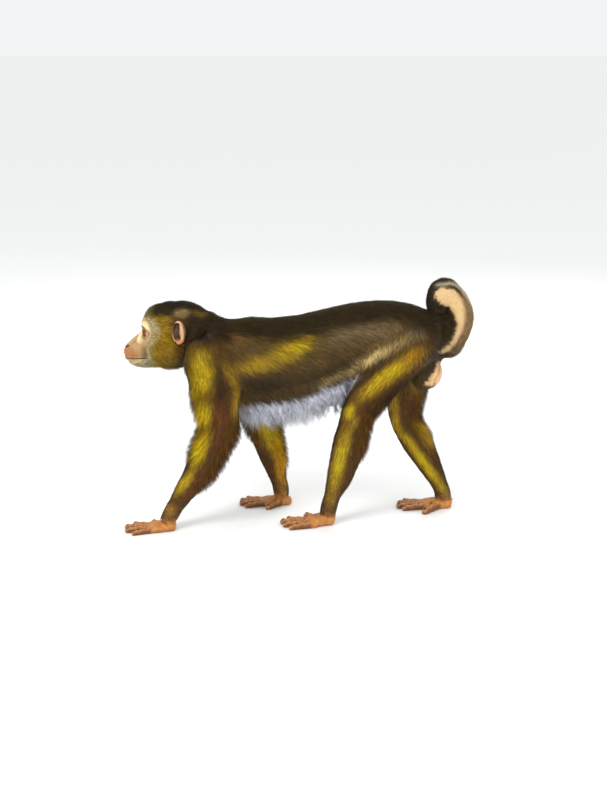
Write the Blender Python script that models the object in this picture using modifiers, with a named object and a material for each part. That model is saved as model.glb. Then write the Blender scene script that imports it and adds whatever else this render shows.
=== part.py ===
"""A life-size northern pig-tailed macaque walking on all fours, its tail curled up over the rump.

Metres, +Z up. The animal faces -X, its left side is at -Y, and it stands on Z = 0.
"""

import math
import random

import bmesh
import bpy
from mathutils import Matrix, Vector
from mathutils.bvhtree import BVHTree

# Gap between nodes that meet face to face
seamGap = 0.0003
# Points closer than this are one
mergeReach = 0.000002
bothSides = (("left", -1), ("right", 1))

# Trunk: x, height of the back, height of the belly, half width
trunkLine = [
    (-0.164, 0.312, 0.240, 0.036),
    (-0.142, 0.322, 0.214, 0.050),
    (-0.115, 0.326, 0.194, 0.057),
    (-0.083, 0.327, 0.184, 0.059),
    (-0.050, 0.326, 0.185, 0.060),
    (0.000, 0.330, 0.193, 0.060),
    (0.040, 0.339, 0.208, 0.057),
    (0.080, 0.348, 0.226, 0.055),
    (0.120, 0.353, 0.238, 0.057),
    (0.160, 0.350, 0.242, 0.058),
    (0.190, 0.337, 0.238, 0.052),
    (0.210, 0.322, 0.238, 0.042),
    (0.221, 0.306, 0.252, 0.028),
]
# Planes that part the trunk, as x
loinStart = -0.020
rumpStart = 0.108

# Long hair under the belly: x, height where it ends, half width
fringeLine = [
    (-0.108, 0.176, 0.030),
    (-0.090, 0.160, 0.040),
    (-0.055, 0.159, 0.044),
    (-0.020, 0.165, 0.046),
    (0.020, 0.177, 0.046),
    (0.052, 0.190, 0.043),
    (0.082, 0.206, 0.036),
    (0.104, 0.224, 0.024),
]
# The core of that hair reaches this share of the way to its ends
coreShare = 0.45

# Rows of locks there: angle from straight down, first x, step, lift of the tips, width
bellyRows = [
    (-62, -0.100, 0.0120, 0.0030, 0.0180),
    (62, -0.097, 0.0120, 0.0030, 0.0180),
    (-26, -0.094, 0.0220, 0.0000, 0.0220),
    (26, -0.086, 0.0220, 0.0000, 0.0220),
]
bellyEnd = 0.094
# Shape of a lock from root to tip: share of its length, width and thickness as shares
lockShape = [(0.0, 0.85, 1.00), (0.35, 1.00, 0.85), (0.75, 0.62, 0.55)]

# Neck: x, y, z, half depth, half width
neckLine = [
    (-0.100, 0.0, 0.268, 0.056, 0.050),
    (-0.135, 0.0, 0.281, 0.047, 0.048),
    (-0.165, 0.0, 0.294, 0.047, 0.047),
    (-0.195, 0.0, 0.303, 0.044, 0.045),
]
# The head is parted from the neck at a point, across a direction, and the neck from the chest
headSeam = (-0.158, 0, 0.290)
headSeamFaces = (-0.88, 0, 0.47)
chestSeam = (-0.128, 0, 0.285)
chestSeamFaces = (-0.75, 0, 0.66)

# Limbs from the trunk to the wrist or ankle: x, y, z, half depth, half width
armLines = {
    "left": [
        (-0.146, -0.034, 0.290, 0.034, 0.024),
        (-0.144, -0.049, 0.267, 0.040, 0.029),
        (-0.131, -0.062, 0.231, 0.040, 0.027),
        (-0.128, -0.068, 0.199, 0.035, 0.025),
        (-0.124, -0.071, 0.168, 0.0300, 0.0240),
        (-0.136, -0.073, 0.140, 0.0270, 0.0235),
        (-0.151, -0.0745, 0.1085, 0.0250, 0.0220),
        (-0.165, -0.075, 0.085, 0.0218, 0.0198),
        (-0.180, -0.076, 0.063, 0.0185, 0.0176),
        (-0.193, -0.077, 0.043, 0.0155, 0.0160),
        (-0.203, -0.078, 0.026, 0.0132, 0.0150),
        (-0.209, -0.0785, 0.014, 0.0118, 0.0145),
    ],
    "right": [
        (-0.142, 0.034, 0.290, 0.034, 0.024),
        (-0.130, 0.048, 0.262, 0.039, 0.029),
        (-0.106, 0.058, 0.228, 0.037, 0.027),
        (-0.084, 0.063, 0.192, 0.032, 0.0245),
        (-0.070, 0.066, 0.162, 0.0285, 0.0238),
        (-0.061, 0.066, 0.136, 0.0262, 0.0232),
        (-0.053, 0.066, 0.103, 0.0240, 0.0218),
        (-0.046, 0.066, 0.078, 0.0210, 0.0192),
        (-0.040, 0.066, 0.058, 0.0180, 0.0172),
        (-0.035, 0.066, 0.040, 0.0154, 0.0158),
        (-0.032, 0.066, 0.026, 0.0134, 0.0150),
        (-0.031, 0.066, 0.014, 0.0120, 0.0145),
    ],
}
legLines = {
    "left": [
        (0.172, -0.030, 0.300, 0.040, 0.022),
        (0.160, -0.044, 0.279, 0.043, 0.027),
        (0.136, -0.053, 0.249, 0.037, 0.027),
        (0.112, -0.060, 0.220, 0.031, 0.026),
        (0.092, -0.064, 0.193, 0.0265, 0.0250),
        (0.084, -0.064, 0.166, 0.0252, 0.0235),
        (0.0775, -0.061, 0.140, 0.0266, 0.0230),
        (0.0728, -0.058, 0.118, 0.0258, 0.0218),
        (0.0656, -0.055, 0.090, 0.0232, 0.0198),
        (0.0595, -0.053, 0.070, 0.0200, 0.0178),
        (0.0520, -0.051, 0.049, 0.0148, 0.0150),
        (0.0470, -0.050, 0.032, 0.0130, 0.0142),
        (0.0440, -0.050, 0.018, 0.0125, 0.0140),
    ],
    "right": [
        (0.176, 0.030, 0.298, 0.040, 0.022),
        (0.176, 0.044, 0.268, 0.041, 0.027),
        (0.176, 0.051, 0.230, 0.037, 0.027),
        (0.172, 0.056, 0.193, 0.0305, 0.0265),
        (0.169, 0.059, 0.160, 0.0262, 0.0250),
        (0.176, 0.059, 0.135, 0.0245, 0.0238),
        (0.192, 0.057, 0.108, 0.0258, 0.0230),
        (0.2065, 0.053, 0.084, 0.0228, 0.0205),
        (0.2180, 0.049, 0.062, 0.0190, 0.0176),
        (0.2285, 0.045, 0.042, 0.0155, 0.0155),
        (0.2340, 0.043, 0.028, 0.0135, 0.0145),
        (0.2360, 0.042, 0.016, 0.0130, 0.0140),
    ],
}
# How far the region that parts a limb off stands out from it
regionSpare = 0.0035
# Stations of the limb lines at which a limb is parted
elbowStation = 4
kneeStation = 4
wristStation = -2

# Paws, from heel to knuckles: x, y, z, half thickness, half width
palmLines = {
    "hand_left": [
        (-0.196, -0.079, 0.0085, 0.0060, 0.0090),
        (-0.205, -0.079, 0.0088, 0.0084, 0.0145),
        (-0.220, -0.081, 0.0084, 0.0080, 0.0180),
        (-0.236, -0.084, 0.0075, 0.0070, 0.0195),
        (-0.243, -0.085, 0.0068, 0.0058, 0.0185),
    ],
    "hand_right": [
        (-0.016, 0.066, 0.0075, 0.0060, 0.0090),
        (-0.026, 0.064, 0.0085, 0.0080, 0.0140),
        (-0.042, 0.063, 0.0078, 0.0074, 0.0175),
        (-0.058, 0.063, 0.0070, 0.0064, 0.0190),
        (-0.065, 0.063, 0.0064, 0.0054, 0.0180),
    ],
    "foot_left": [
        (0.055, -0.049, 0.0105, 0.0072, 0.0080),
        (0.047, -0.050, 0.0115, 0.0108, 0.0125),
        (0.034, -0.052, 0.0105, 0.0100, 0.0150),
        (0.018, -0.055, 0.0085, 0.0080, 0.0180),
        (0.008, -0.057, 0.0070, 0.0062, 0.0185),
    ],
    "foot_right": [
        (0.250, 0.041, 0.0100, 0.0070, 0.0080),
        (0.241, 0.042, 0.0110, 0.0100, 0.0125),
        (0.226, 0.043, 0.0100, 0.0092, 0.0150),
        (0.208, 0.045, 0.0080, 0.0074, 0.0180),
        (0.197, 0.046, 0.0066, 0.0058, 0.0185),
    ],
}
# How far the paws are pressed flat on the floor
palmSink = 0.0018
# Digits: x and y of the knuckle, x and y of the tip, and the radius. The first is the thumb or great toe
digitLines = {
    "hand_left": [
        (-0.214, -0.068, -0.236, -0.049, 0.0047),
        (-0.236, -0.070, -0.265, -0.061, 0.0047),
        (-0.240, -0.079, -0.276, -0.078, 0.0049),
        (-0.240, -0.089, -0.274, -0.095, 0.0047),
        (-0.236, -0.098, -0.262, -0.110, 0.0043),
    ],
    "hand_right": [
        (-0.034, 0.052, -0.055, 0.028, 0.0047),
        (-0.060, 0.050, -0.091, 0.040, 0.0045),
        (-0.063, 0.059, -0.100, 0.054, 0.0047),
        (-0.063, 0.068, -0.100, 0.071, 0.0045),
        (-0.059, 0.077, -0.091, 0.086, 0.0041),
    ],
    "foot_left": [
        (0.036, -0.043, 0.008, -0.018, 0.0060),
        (0.013, -0.043, -0.022, -0.036, 0.0050),
        (0.010, -0.052, -0.031, -0.050, 0.0052),
        (0.011, -0.062, -0.027, -0.066, 0.0050),
        (0.015, -0.071, -0.017, -0.081, 0.0047),
    ],
    "foot_right": [
        (0.224, 0.032, 0.201, 0.002, 0.0058),
        (0.201, 0.032, 0.168, 0.0235, 0.0050),
        (0.198, 0.041, 0.159, 0.038, 0.0050),
        (0.199, 0.051, 0.161, 0.054, 0.0049),
        (0.203, 0.060, 0.170, 0.069, 0.0045),
    ],
}

# Shape of a digit from knuckle to tip: share of its length, height and size as shares of its radius
digitShape = [
    (-0.25, 0.85, 1.05),
    (0.00, 0.86, 1.10),
    (0.30, 0.84, 1.04),
    (0.60, 0.80, 1.00),
    (0.85, 0.72, 0.94),
    (1.00, 0.42, 0.66),
]

# Locks of the cheek: x and z of the root, reach backward and down
ruffRoots = [
    (-0.234, 0.2915, 0.027, 0.005),
    (-0.235, 0.2810, 0.028, 0.007),
    (-0.234, 0.2700, 0.028, 0.006),
    (-0.221, 0.2865, 0.026, 0.006),
    (-0.221, 0.2755, 0.026, 0.008),
    (-0.221, 0.2650, 0.026, 0.007),
    (-0.209, 0.2915, 0.018, 0.004),
    (-0.210, 0.2815, 0.019, 0.006),
    (-0.210, 0.2715, 0.019, 0.008),
    (-0.209, 0.2620, 0.017, 0.005),
]
ruffWidth = 0.0135

# Head lines: x, y, z, half depth, half width
jawLine = [
    (-0.180, 0, 0.267, 0.016, 0.030),
    (-0.210, 0, 0.264, 0.014, 0.027),
    (-0.240, 0, 0.259, 0.0115, 0.021),
    (-0.260, 0, 0.257, 0.0095, 0.0160),
    (-0.268, 0, 0.257, 0.0065, 0.0110),
]
browLine = [
    (-0.2240, -0.0370, 0.3090, 0.0040, 0.0040),
    (-0.2345, -0.0300, 0.3150, 0.0052, 0.0052),
    (-0.2440, -0.0170, 0.3175, 0.0058, 0.0058),
    (-0.2465, 0.0000, 0.3165, 0.0055, 0.0055),
]
muzzleLine = [
    (-0.205, 0, 0.287, 0.028, 0.036),
    (-0.235, 0, 0.282, 0.026, 0.0240),
    (-0.251, 0, 0.276, 0.021, 0.0205),
    (-0.265, 0, 0.270, 0.0160, 0.0185),
    (-0.2745, 0, 0.2675, 0.0115, 0.0150),
    (-0.2780, 0, 0.2665, 0.0070, 0.0090),
]
noseLine = [
    (-0.234, 0, 0.3110, 0.0070, 0.0100),
    (-0.2425, 0, 0.3030, 0.0068, 0.0085),
    (-0.2540, 0, 0.2935, 0.0066, 0.0078),
    (-0.2650, 0, 0.2850, 0.0060, 0.0072),
    (-0.2715, 0, 0.2795, 0.0045, 0.0055),
]

# Head: the eye's place on the right side, and how far it looks outward in degrees
eyeRadius = 0.0092
eyeAt = (-0.2380, 0.0162, 0.3050)
gazeOutward = 24
lidThickness = 0.0022
lidOpening = (0.0078, 0.0052)
mouthHeight = 0.2625
mouthCorner = -0.2410
grooveWidth = 0.0010
grooveDepth = 0.0016
# Ear: its place on the right side, half height, half width, half depth
earAt = (-0.1870, 0.0562, 0.3125)
earHalf = (0.0180, 0.0112, 0.0082)
earFaces = (-0.66, 0.75, 0.06)

# Tail, from inside the rump to its tip: x, y, z, half depth, half width
tailLine = [
    (0.196, 0.000, 0.287, 0.034, 0.028),
    (0.224, 0.000, 0.285, 0.0300, 0.0255),
    (0.2440, 0.001, 0.299, 0.0245, 0.0220),
    (0.2535, 0.001, 0.325, 0.0230, 0.0195),
    (0.2480, -0.001, 0.3470, 0.0222, 0.0190),
    (0.2375, -0.003, 0.3590, 0.0235, 0.0185),
    (0.2260, -0.005, 0.3665, 0.0260, 0.0180),
    (0.2165, -0.008, 0.3590, 0.0200, 0.0165),
    (0.2120, -0.010, 0.3465, 0.0150, 0.0135),
    (0.2150, -0.010, 0.3320, 0.0080, 0.0080),
]
# Stations at which the tail is parted
tailMiddleStart = 2
tailTipStart = 6
# Swelling under the tail: the right lobe's centre and radii
lobeAt = (0.200, 0.012, 0.240)
lobeRadii = (0.026, 0.022, 0.0275)

# Skins: voxel, rounds of softening, share of faces kept
bodySkin = (0.0045, 7, 0.055)
headSkin = (0.0018, 6, 0.0235)
pawSkin = (0.0015, 3, 0.036)
tailSkin = (0.0030, 4, 0.065)

coatFinish = ("coat", (0.30, 0.19, 0.05), 0.85)
skinFinish = ("bare_skin", (0.72, 0.42, 0.25), 0.55)
eyeFinish = ("eye", (0.10, 0.04, 0.015), 0.15)


def clearScene():
    for obj in list(bpy.data.objects):
        bpy.data.objects.remove(obj, do_unlink=True)


def newCollection(name):
    made = bpy.data.collections.new(name)
    bpy.context.scene.collection.children.link(made)
    return made


def addMesh(name, bm, group):
    bm.normal_update()
    bmesh.ops.recalc_face_normals(bm, faces=bm.faces)
    mesh = bpy.data.meshes.new(name)
    bm.to_mesh(mesh)
    bm.free()
    obj = bpy.data.objects.new(name, mesh)
    group.objects.link(obj)
    return obj


def remove(obj):
    bpy.data.objects.remove(obj, do_unlink=True)


def settled(obj):
    """The object with its modifiers applied."""
    bpy.context.view_layer.update()
    graph = bpy.context.evaluated_depsgraph_get()
    mesh = bpy.data.meshes.new_from_object(obj.evaluated_get(graph))
    mesh.transform(obj.matrix_world)
    obj.modifiers.clear()
    obj.data = mesh
    obj.matrix_world = Matrix.Identity(4)
    return obj


def between(stations, steps):
    """A smooth run of values through the stations (Catmull-Rom)."""
    run = []
    last = len(stations) - 1
    for i in range(last):
        before, here = stations[max(i - 1, 0)], stations[i]
        there, after = stations[i + 1], stations[min(i + 2, last)]
        for step in range(steps):
            t = step / steps
            run.append(
                tuple(
                    0.5 * (2 * b + (c - a) * t + (2 * a - 5 * b + 4 * c - d) * t * t + (3 * b - a - 3 * c + d) * t**3)
                    for a, b, c, d in zip(before, here, there, after)
                )
            )
    run.append(tuple(stations[-1]))
    return run


def loft(name, stations, group, sides=20, steps=3, keel=0.0, across=(0, 1, 0)):
    """A tube of changing oval section. A keel above 0 makes the upper half wider than the lower."""
    run = between(stations, steps)
    bm = bmesh.new()
    rings = []
    for i, (x, y, z, deep, wide) in enumerate(run):
        behind = Vector(run[max(i - 1, 0)][:3])
        ahead = Vector(run[min(i + 1, len(run) - 1)][:3])
        along = (ahead - behind).normalized()
        side = (Vector(across) - along * along.dot(Vector(across))).normalized()
        up = along.cross(side)
        ring = []
        for k in range(sides):
            a = 2 * math.pi * k / sides
            out = side * (wide * math.sin(a) * (1 + keel * math.cos(a)))
            ring.append(bm.verts.new(Vector((x, y, z)) + up * (deep * math.cos(a)) + out))
        rings.append(ring)
    for one, two in zip(rings, rings[1:]):
        for k in range(sides):
            n = (k + 1) % sides
            bm.faces.new((one[k], one[n], two[n], two[k]))
    bm.faces.new(rings[0])
    bm.faces.new(rings[-1])
    return addMesh(name, bm, group)


def ball(name, at, radii, group, turn=(0, 0, 0), rings=12):
    """An ellipsoid. turn is its rotation about X, Y and Z in degrees."""
    bm = bmesh.new()
    bmesh.ops.create_uvsphere(bm, u_segments=2 * rings, v_segments=rings, radius=1)
    size = Matrix.Diagonal((*radii, 1))
    rotation = Matrix.Rotation(math.radians(turn[2]), 4, "Z") @ Matrix.Rotation(math.radians(turn[1]), 4, "Y")
    rotation = rotation @ Matrix.Rotation(math.radians(turn[0]), 4, "X")
    bm.transform(Matrix.Translation(at) @ rotation @ size)
    return addMesh(name, bm, group)


def oneSkin(name, forms, voxel, rounds, share, group):
    """One closed skin over overlapping forms, softened, then thinned to a share of its faces."""
    bm = bmesh.new()
    for form in forms:
        form.data.transform(form.matrix_world)
        bm.from_mesh(form.data)
        remove(form)
    mesh = bpy.data.meshes.new(name)
    bm.to_mesh(mesh)
    bm.free()
    obj = bpy.data.objects.new(name, mesh)
    group.objects.link(obj)
    skin = obj.modifiers.new("skin", "REMESH")
    skin.mode = "VOXEL"
    skin.voxel_size = voxel
    soften = obj.modifiers.new("soften", "SMOOTH")
    soften.factor = 0.5
    soften.iterations = rounds
    thin = obj.modifiers.new("thin", "DECIMATE")
    thin.ratio = share
    obj.modifiers.new("split", "TRIANGULATE")
    return settled(obj)


def largestBody(obj):
    """Merges points that meet, and keeps only the largest closed surface of the object."""
    bm = bmesh.new()
    bm.from_mesh(obj.data)
    bmesh.ops.remove_doubles(bm, verts=bm.verts, dist=mergeReach)
    bm.verts.ensure_lookup_table()
    seen, shells = set(), []
    for start in bm.verts:
        if start.index in seen:
            continue
        seen.add(start.index)
        stack, shell = [start], []
        while stack:
            vert = stack.pop()
            shell.append(vert)
            for edge in vert.link_edges:
                other = edge.other_vert(vert)
                if other.index not in seen:
                    seen.add(other.index)
                    stack.append(other)
        shells.append(shell)
    shells.sort(key=len)
    scraps = [vert for shell in shells[:-1] for vert in shell]
    bmesh.ops.delete(bm, geom=scraps, context="VERTS")
    bm.to_mesh(obj.data)
    bm.free()
    return obj


def combine(obj, other, operation):
    step = obj.modifiers.new("step", "BOOLEAN")
    step.operation = operation
    step.object = other
    step.solver = "EXACT"
    return largestBody(settled(obj))


def copyOf(obj, name, group):
    made = bpy.data.objects.new(name, obj.data.copy())
    group.objects.link(made)
    return made


def grown(obj, by, group):
    """A copy whose surface stands out by the given distance."""
    made = copyOf(obj, obj.name + "_grown", group)
    bm = bmesh.new()
    bm.from_mesh(made.data)
    bm.normal_update()
    moves = [(vert, vert.normal * by) for vert in bm.verts]
    for vert, move in moves:
        vert.co += move
    bm.to_mesh(made.data)
    bm.free()
    return made


def clearOf(obj, other, group):
    """Cuts the object back from another, with a small gap."""
    cutter = grown(other, seamGap, group)
    combine(obj, cutter, "DIFFERENCE")
    remove(cutter)
    return obj


def trimmed(obj, at, out):
    """Keeps what lies behind a plane, and closes the face that the plane leaves."""
    bm = bmesh.new()
    bm.from_mesh(obj.data)
    everything = bm.verts[:] + bm.edges[:] + bm.faces[:]
    bmesh.ops.bisect_plane(bm, geom=everything, dist=1e-6, plane_co=at, plane_no=out, clear_outer=True)
    rim = [edge for edge in bm.edges if edge.is_boundary]
    lids = bmesh.ops.holes_fill(bm, edges=rim, sides=0)["faces"]
    bmesh.ops.triangulate(bm, faces=lids, ngon_method="EAR_CLIP")
    bm.normal_update()
    bmesh.ops.recalc_face_normals(bm, faces=bm.faces)
    bm.to_mesh(obj.data)
    bm.free()
    return largestBody(obj)


def planeCut(obj, at, out, name, group):
    """Parts the object at a plane. It keeps the side behind `out`; the other side is a new object."""
    at, out = Vector(at), Vector(out).normalized()
    far = trimmed(copyOf(obj, name, group), at + out * seamGap / 2, -out)
    trimmed(obj, at - out * seamGap / 2, out)
    return far


def regionCut(obj, region, name, group):
    """Parts off what lies inside a region. The region is removed."""
    inside = copyOf(obj, name, group)
    combine(inside, region, "INTERSECT")
    clearOf(obj, region, group)
    remove(region)
    return inside


def paint(obj, name, colour, roughness):
    material = bpy.data.materials.get(name) or bpy.data.materials.new(name)
    material.use_nodes = True
    shader = material.node_tree.nodes["Principled BSDF"]
    shader.inputs["Base Color"].default_value = (*colour, 1)
    shader.inputs["Roughness"].default_value = roughness
    shader.inputs["Metallic"].default_value = 0
    obj.data.materials.clear()
    obj.data.materials.append(material)
    obj.data.polygons.foreach_set("material_index", [0] * len(obj.data.polygons))
    obj.data.shade_smooth()


def makeBody(work):
    """Trunk, neck and limbs in one skin, without the paws."""
    trunk = [(x, 0, (top + low) / 2, (top - low) / 2, wide) for x, top, low, wide in trunkLine]
    forms = [
        loft("trunk", trunk, work, sides=28, keel=0.10),
        loft("neck", neckLine, work, sides=24),
        ball("breast", (-0.146, 0, 0.262), (0.034, 0.038, 0.038), work),
        ball("rump_end", (0.196, 0, 0.292), (0.032, 0.040, 0.042), work),
    ]
    for side, sign in bothSides:
        forms.append(loft("arm", armLines[side], work))
        forms.append(loft("leg", legLines[side], work))
        forms.append(ball("shoulder", (-0.140, sign * 0.042, 0.276), (0.040, 0.024, 0.040), work))
        forms.append(ball("haunch", (0.168, sign * 0.034, 0.290), (0.046, 0.028, 0.046), work))
    forms.append(makeFringeCore(work))
    return oneSkin("body", forms, *bodySkin, work)


def stationAt(stations, x):
    """The values of a line of stations at a place along x."""
    run = between(stations, 6)
    for one, two in zip(run, run[1:]):
        if one[0] <= x <= two[0]:
            share = (x - one[0]) / (two[0] - one[0])
            return [a + (b - a) * share for a, b in zip(one, two)]
    return run[-1]


def makeFringeCore(work):
    """The inner part of the hair under the belly, which the locks hang from."""
    stations = []
    for x, end, wide in fringeLine:
        low = stationAt(trunkLine, x)[2]
        bottom = low - (low - end) * coreShare
        top = low + 0.030
        stations.append((x, 0, (bottom + top) / 2, (top - bottom) / 2, wide))
    return loft("fringe", stations, work, sides=20)


def lock(root, middle, tip, outward, wide, thick, group):
    """A flat, tapered lock of hair that bends from its root over its middle to its tip."""
    root, middle, tip, outward = Vector(root), Vector(middle), Vector(tip), Vector(outward)
    bm = bmesh.new()
    rings = []
    for share, breadth, depth in lockShape:
        at = root * (1 - share) ** 2 + middle * 2 * share * (1 - share) + tip * share**2
        along = ((middle - root) * (1 - share) + (tip - middle) * share).normalized()
        side = along.cross(outward).normalized() * wide * breadth / 2
        up = side.cross(along).normalized() * thick * depth / 2
        rings.append([bm.verts.new(at + move) for move in (side, up, -side, -up)])
    for one, two in zip(rings, rings[1:]):
        for k in range(4):
            bm.faces.new((one[k], one[(k + 1) % 4], two[(k + 1) % 4], two[k]))
    end = bm.verts.new(tip)
    for k in range(4):
        bm.faces.new((rings[-1][k], rings[-1][(k + 1) % 4], end))
    bm.faces.new(rings[0])
    bmesh.ops.triangulate(bm, faces=bm.faces)
    return addMesh("lock", bm, group)


def fuse(obj, locks):
    """Joins the locks of a collection to the object in one union."""
    step = obj.modifiers.new("step", "BOOLEAN")
    step.operation = "UNION"
    step.operand_type = "COLLECTION"
    step.collection = locks
    step.solver = "EXACT"
    settled(obj)
    for other in list(locks.objects):
        remove(other)
    bpy.data.collections.remove(locks)
    return largestBody(obj)


def bellyLocks(draw):
    """Rows of locks from the flanks and the belly, which hang down and lean back."""
    locks = newCollection("belly_locks")
    for row, (turn, first, step, lift, wide) in enumerate(bellyRows):
        x = first
        while x < bellyEnd:
            _, top, low, half = stationAt(trunkLine, x)
            _, end, reach = stationAt(fringeLine, x)
            middle, deep = (top + low) / 2, (top - low) / 2
            a = math.radians(turn)
            outward = Vector((0, math.sin(a), -math.cos(a)))
            root = Vector((x, half * math.sin(a), middle - deep * math.cos(a))) - outward * 0.008
            lean = draw.uniform(0.008, 0.016)
            tip = Vector((x + lean, reach * math.sin(a) * 1.12, end + lift + draw.uniform(-0.001, 0.004)))
            bend = (root + tip) / 2 + Vector((-0.002, math.sin(a) * 0.006, 0))
            lock(root, bend, tip, (0, math.sin(a), -math.cos(a) * 0.35), wide * draw.uniform(0.9, 1.15), 0.0075, locks)
            x += step * draw.uniform(0.88, 1.12)
    return locks


def cheekLocks(head, sign, draw):
    """The ruff of a cheek: locks that sweep back and down from the face."""
    locks = newCollection("cheek_locks")
    bm = bmesh.new()
    bm.from_mesh(head.data)
    surface = BVHTree.FromBMesh(bm)
    bm.free()
    inward = Vector((0, -sign, 0))
    for x, z, backward, down in ruffRoots:
        x += draw.uniform(-0.0010, 0.0010)
        z += draw.uniform(-0.0010, 0.0010)
        at, normal, _, _ = surface.ray_cast(Vector((x, sign * 0.2, z)), inward)
        beyond = Vector((x + backward, sign * 0.2, z - down))
        under, _, _, _ = surface.ray_cast(beyond, inward)
        side = under.y if under is not None else at.y * 0.8
        tip = Vector((beyond.x, side + sign * 0.0032, beyond.z))
        bend = (at + tip) / 2 + normal * 0.0044
        lock(at - normal * 0.005, bend, tip, normal, ruffWidth, 0.0062, locks)
    return locks


def partLimb(body, line, joint, names, work):
    """Parts a limb off the body, cuts it at the elbow or knee, and ends it at the wrist or ankle."""
    region = loft(
        "region",
        [(x, y, z, deep + regionSpare, wide + regionSpare) for x, y, z, deep, wide in line],
        work,
        sides=16,
        steps=2,
    )
    upper = regionCut(body, region, names[0], work)
    along = Vector(line[joint + 1][:3]) - Vector(line[joint - 1][:3])
    lower = planeCut(upper, line[joint][:3], along, names[1], work)
    trimmed(lower, Vector(line[wristStation][:3]), (0, 0, -1))
    return [upper, lower]


def digit(line, name, work):
    """A finger or toe: it leaves the palm, arches a little and comes down flat at its tip."""
    fromX, fromY, toX, toY, radius = line
    stations = []
    for share, height, size in digitShape:
        x = fromX + (toX - fromX) * share
        y = fromY + (toY - fromY) * share
        stations.append((x, y, height * radius, size * radius, size * radius * 1.06))
    return loft(name, stations, work, sides=12, steps=2)


def makePaw(name, limbLine, work):
    """A hand or foot, flat on the floor, cut off level at the wrist or ankle."""
    palm = [(x, y, z - palmSink, deep, wide) for x, y, z, deep, wide in palmLines[name]]
    forms = [loft("palm", palm, work, sides=18)]
    forms.append(loft("stub", limbLine[-4:], work))
    forms += [digit(line, "digit", work) for line in digitLines[name]]
    paw = oneSkin(name, forms, *pawSkin, work)
    trimmed(paw, Vector(limbLine[wristStation][:3]) - Vector((0, 0, seamGap)), (0, 0, 1))
    return trimmed(paw, (0, 0, 0), (0, 0, -1))


def makeHead(work):
    """The head with its lids, sockets, mouth line and nostrils, and the two eyes."""
    forms = [
        ball("cranium", (-0.190, 0, 0.305), (0.056, 0.048, 0.049), work),
        ball("forehead", (-0.213, 0, 0.313), (0.035, 0.038, 0.033), work),
        ball("nape", (-0.160, 0, 0.298), (0.045, 0.049, 0.043), work),
        loft("neck", neckLine, work, sides=24),
        loft("jaw", jawLine, work, sides=16),
        loft("muzzle", muzzleLine, work, sides=20),
        loft("nose_bridge", noseLine, work, sides=14),
        ball("chin", (-0.263, 0, 0.2565), (0.010, 0.013, 0.0070), work),
    ]
    brow = browLine + [(x, -y, z, deep, wide) for x, y, z, deep, wide in reversed(browLine[:-1])]
    forms.append(loft("brow", brow, work, sides=12, across=(1, 0, 0)))
    for side, sign in bothSides:
        forms.append(ball("cheek", (-0.205, sign * 0.025, 0.279), (0.037, 0.030, 0.0295), work))
        forms.append(ball("cheekbone", (-0.2300, sign * 0.026, 0.2955), (0.012, 0.010, 0.009), work))
        forms.append(ball("lip_pad", (-0.262, sign * 0.010, 0.271), (0.0145, 0.0110, 0.0085), work))
        forms.append(ball("nose_wing", (-0.2720, sign * 0.0050, 0.2800), (0.0052, 0.0048, 0.0046), work))
    head = oneSkin("head", forms, *headSkin, work)
    seamFaces = Vector(headSeamFaces).normalized()
    trimmed(head, Vector(headSeam) + seamFaces * seamGap, -seamFaces)
    cutMouth(head, work)
    for side, sign in bothSides:
        nostril = ball("nostril", (-0.2762, sign * 0.0044, 0.2795), (0.0032, 0.0013, 0.0020), work,
                       turn=(sign * -35, 20, sign * -30), rings=6)
        combine(head, nostril, "DIFFERENCE")
        remove(nostril)
    return [head] + [makeEye(head, side, sign, work) for side, sign in bothSides]


def makeEye(head, side, sign, work):
    """An eyeball, and the lids and socket round it in the head."""
    at = Vector((eyeAt[0], sign * eyeAt[1], eyeAt[2]))
    gaze = Vector((-1, 0, 0))
    gaze.rotate(Matrix.Rotation(math.radians(-sign * gazeOutward), 3, "Z"))
    hollow = ball("hollow", at + gaze * (eyeRadius + 0.0075), (0.0095, 0.0128, 0.0100), work,
                  turn=(0, 0, -sign * gazeOutward))
    combine(head, hollow, "DIFFERENCE")
    remove(hollow)
    lids = ball("lids", at, [eyeRadius + lidThickness] * 3, work, turn=(0, 90, 0), rings=10)
    combine(head, lids, "UNION")
    remove(lids)
    opening = ball("opening", at + gaze * eyeRadius, (0.0060, *lidOpening), work,
                   turn=(sign * 6, 0, -sign * gazeOutward), rings=8)
    combine(head, opening, "DIFFERENCE")
    remove(opening)
    socket = ball("socket", at, [eyeRadius + seamGap] * 3, work, rings=9)
    combine(head, socket, "DIFFERENCE")
    remove(socket)
    return ball("eye_" + side, at, [eyeRadius] * 3, work, rings=7)


def cutMouth(head, work):
    """A groove of even depth round the front of the muzzle."""
    bm = bmesh.new()
    bmesh.ops.create_cube(bm, size=1)
    long, wide = 0.06, 0.08
    place = Matrix.Translation((mouthCorner - long / 2, 0, mouthHeight))
    bm.transform(place @ Matrix.Diagonal((long, wide, grooveWidth, 1)))
    slab = addMesh("slab", bm, work)
    inner = grown(head, -grooveDepth, work)
    combine(slab, inner, "DIFFERENCE")
    combine(head, slab, "DIFFERENCE")
    remove(inner)
    remove(slab)


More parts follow.
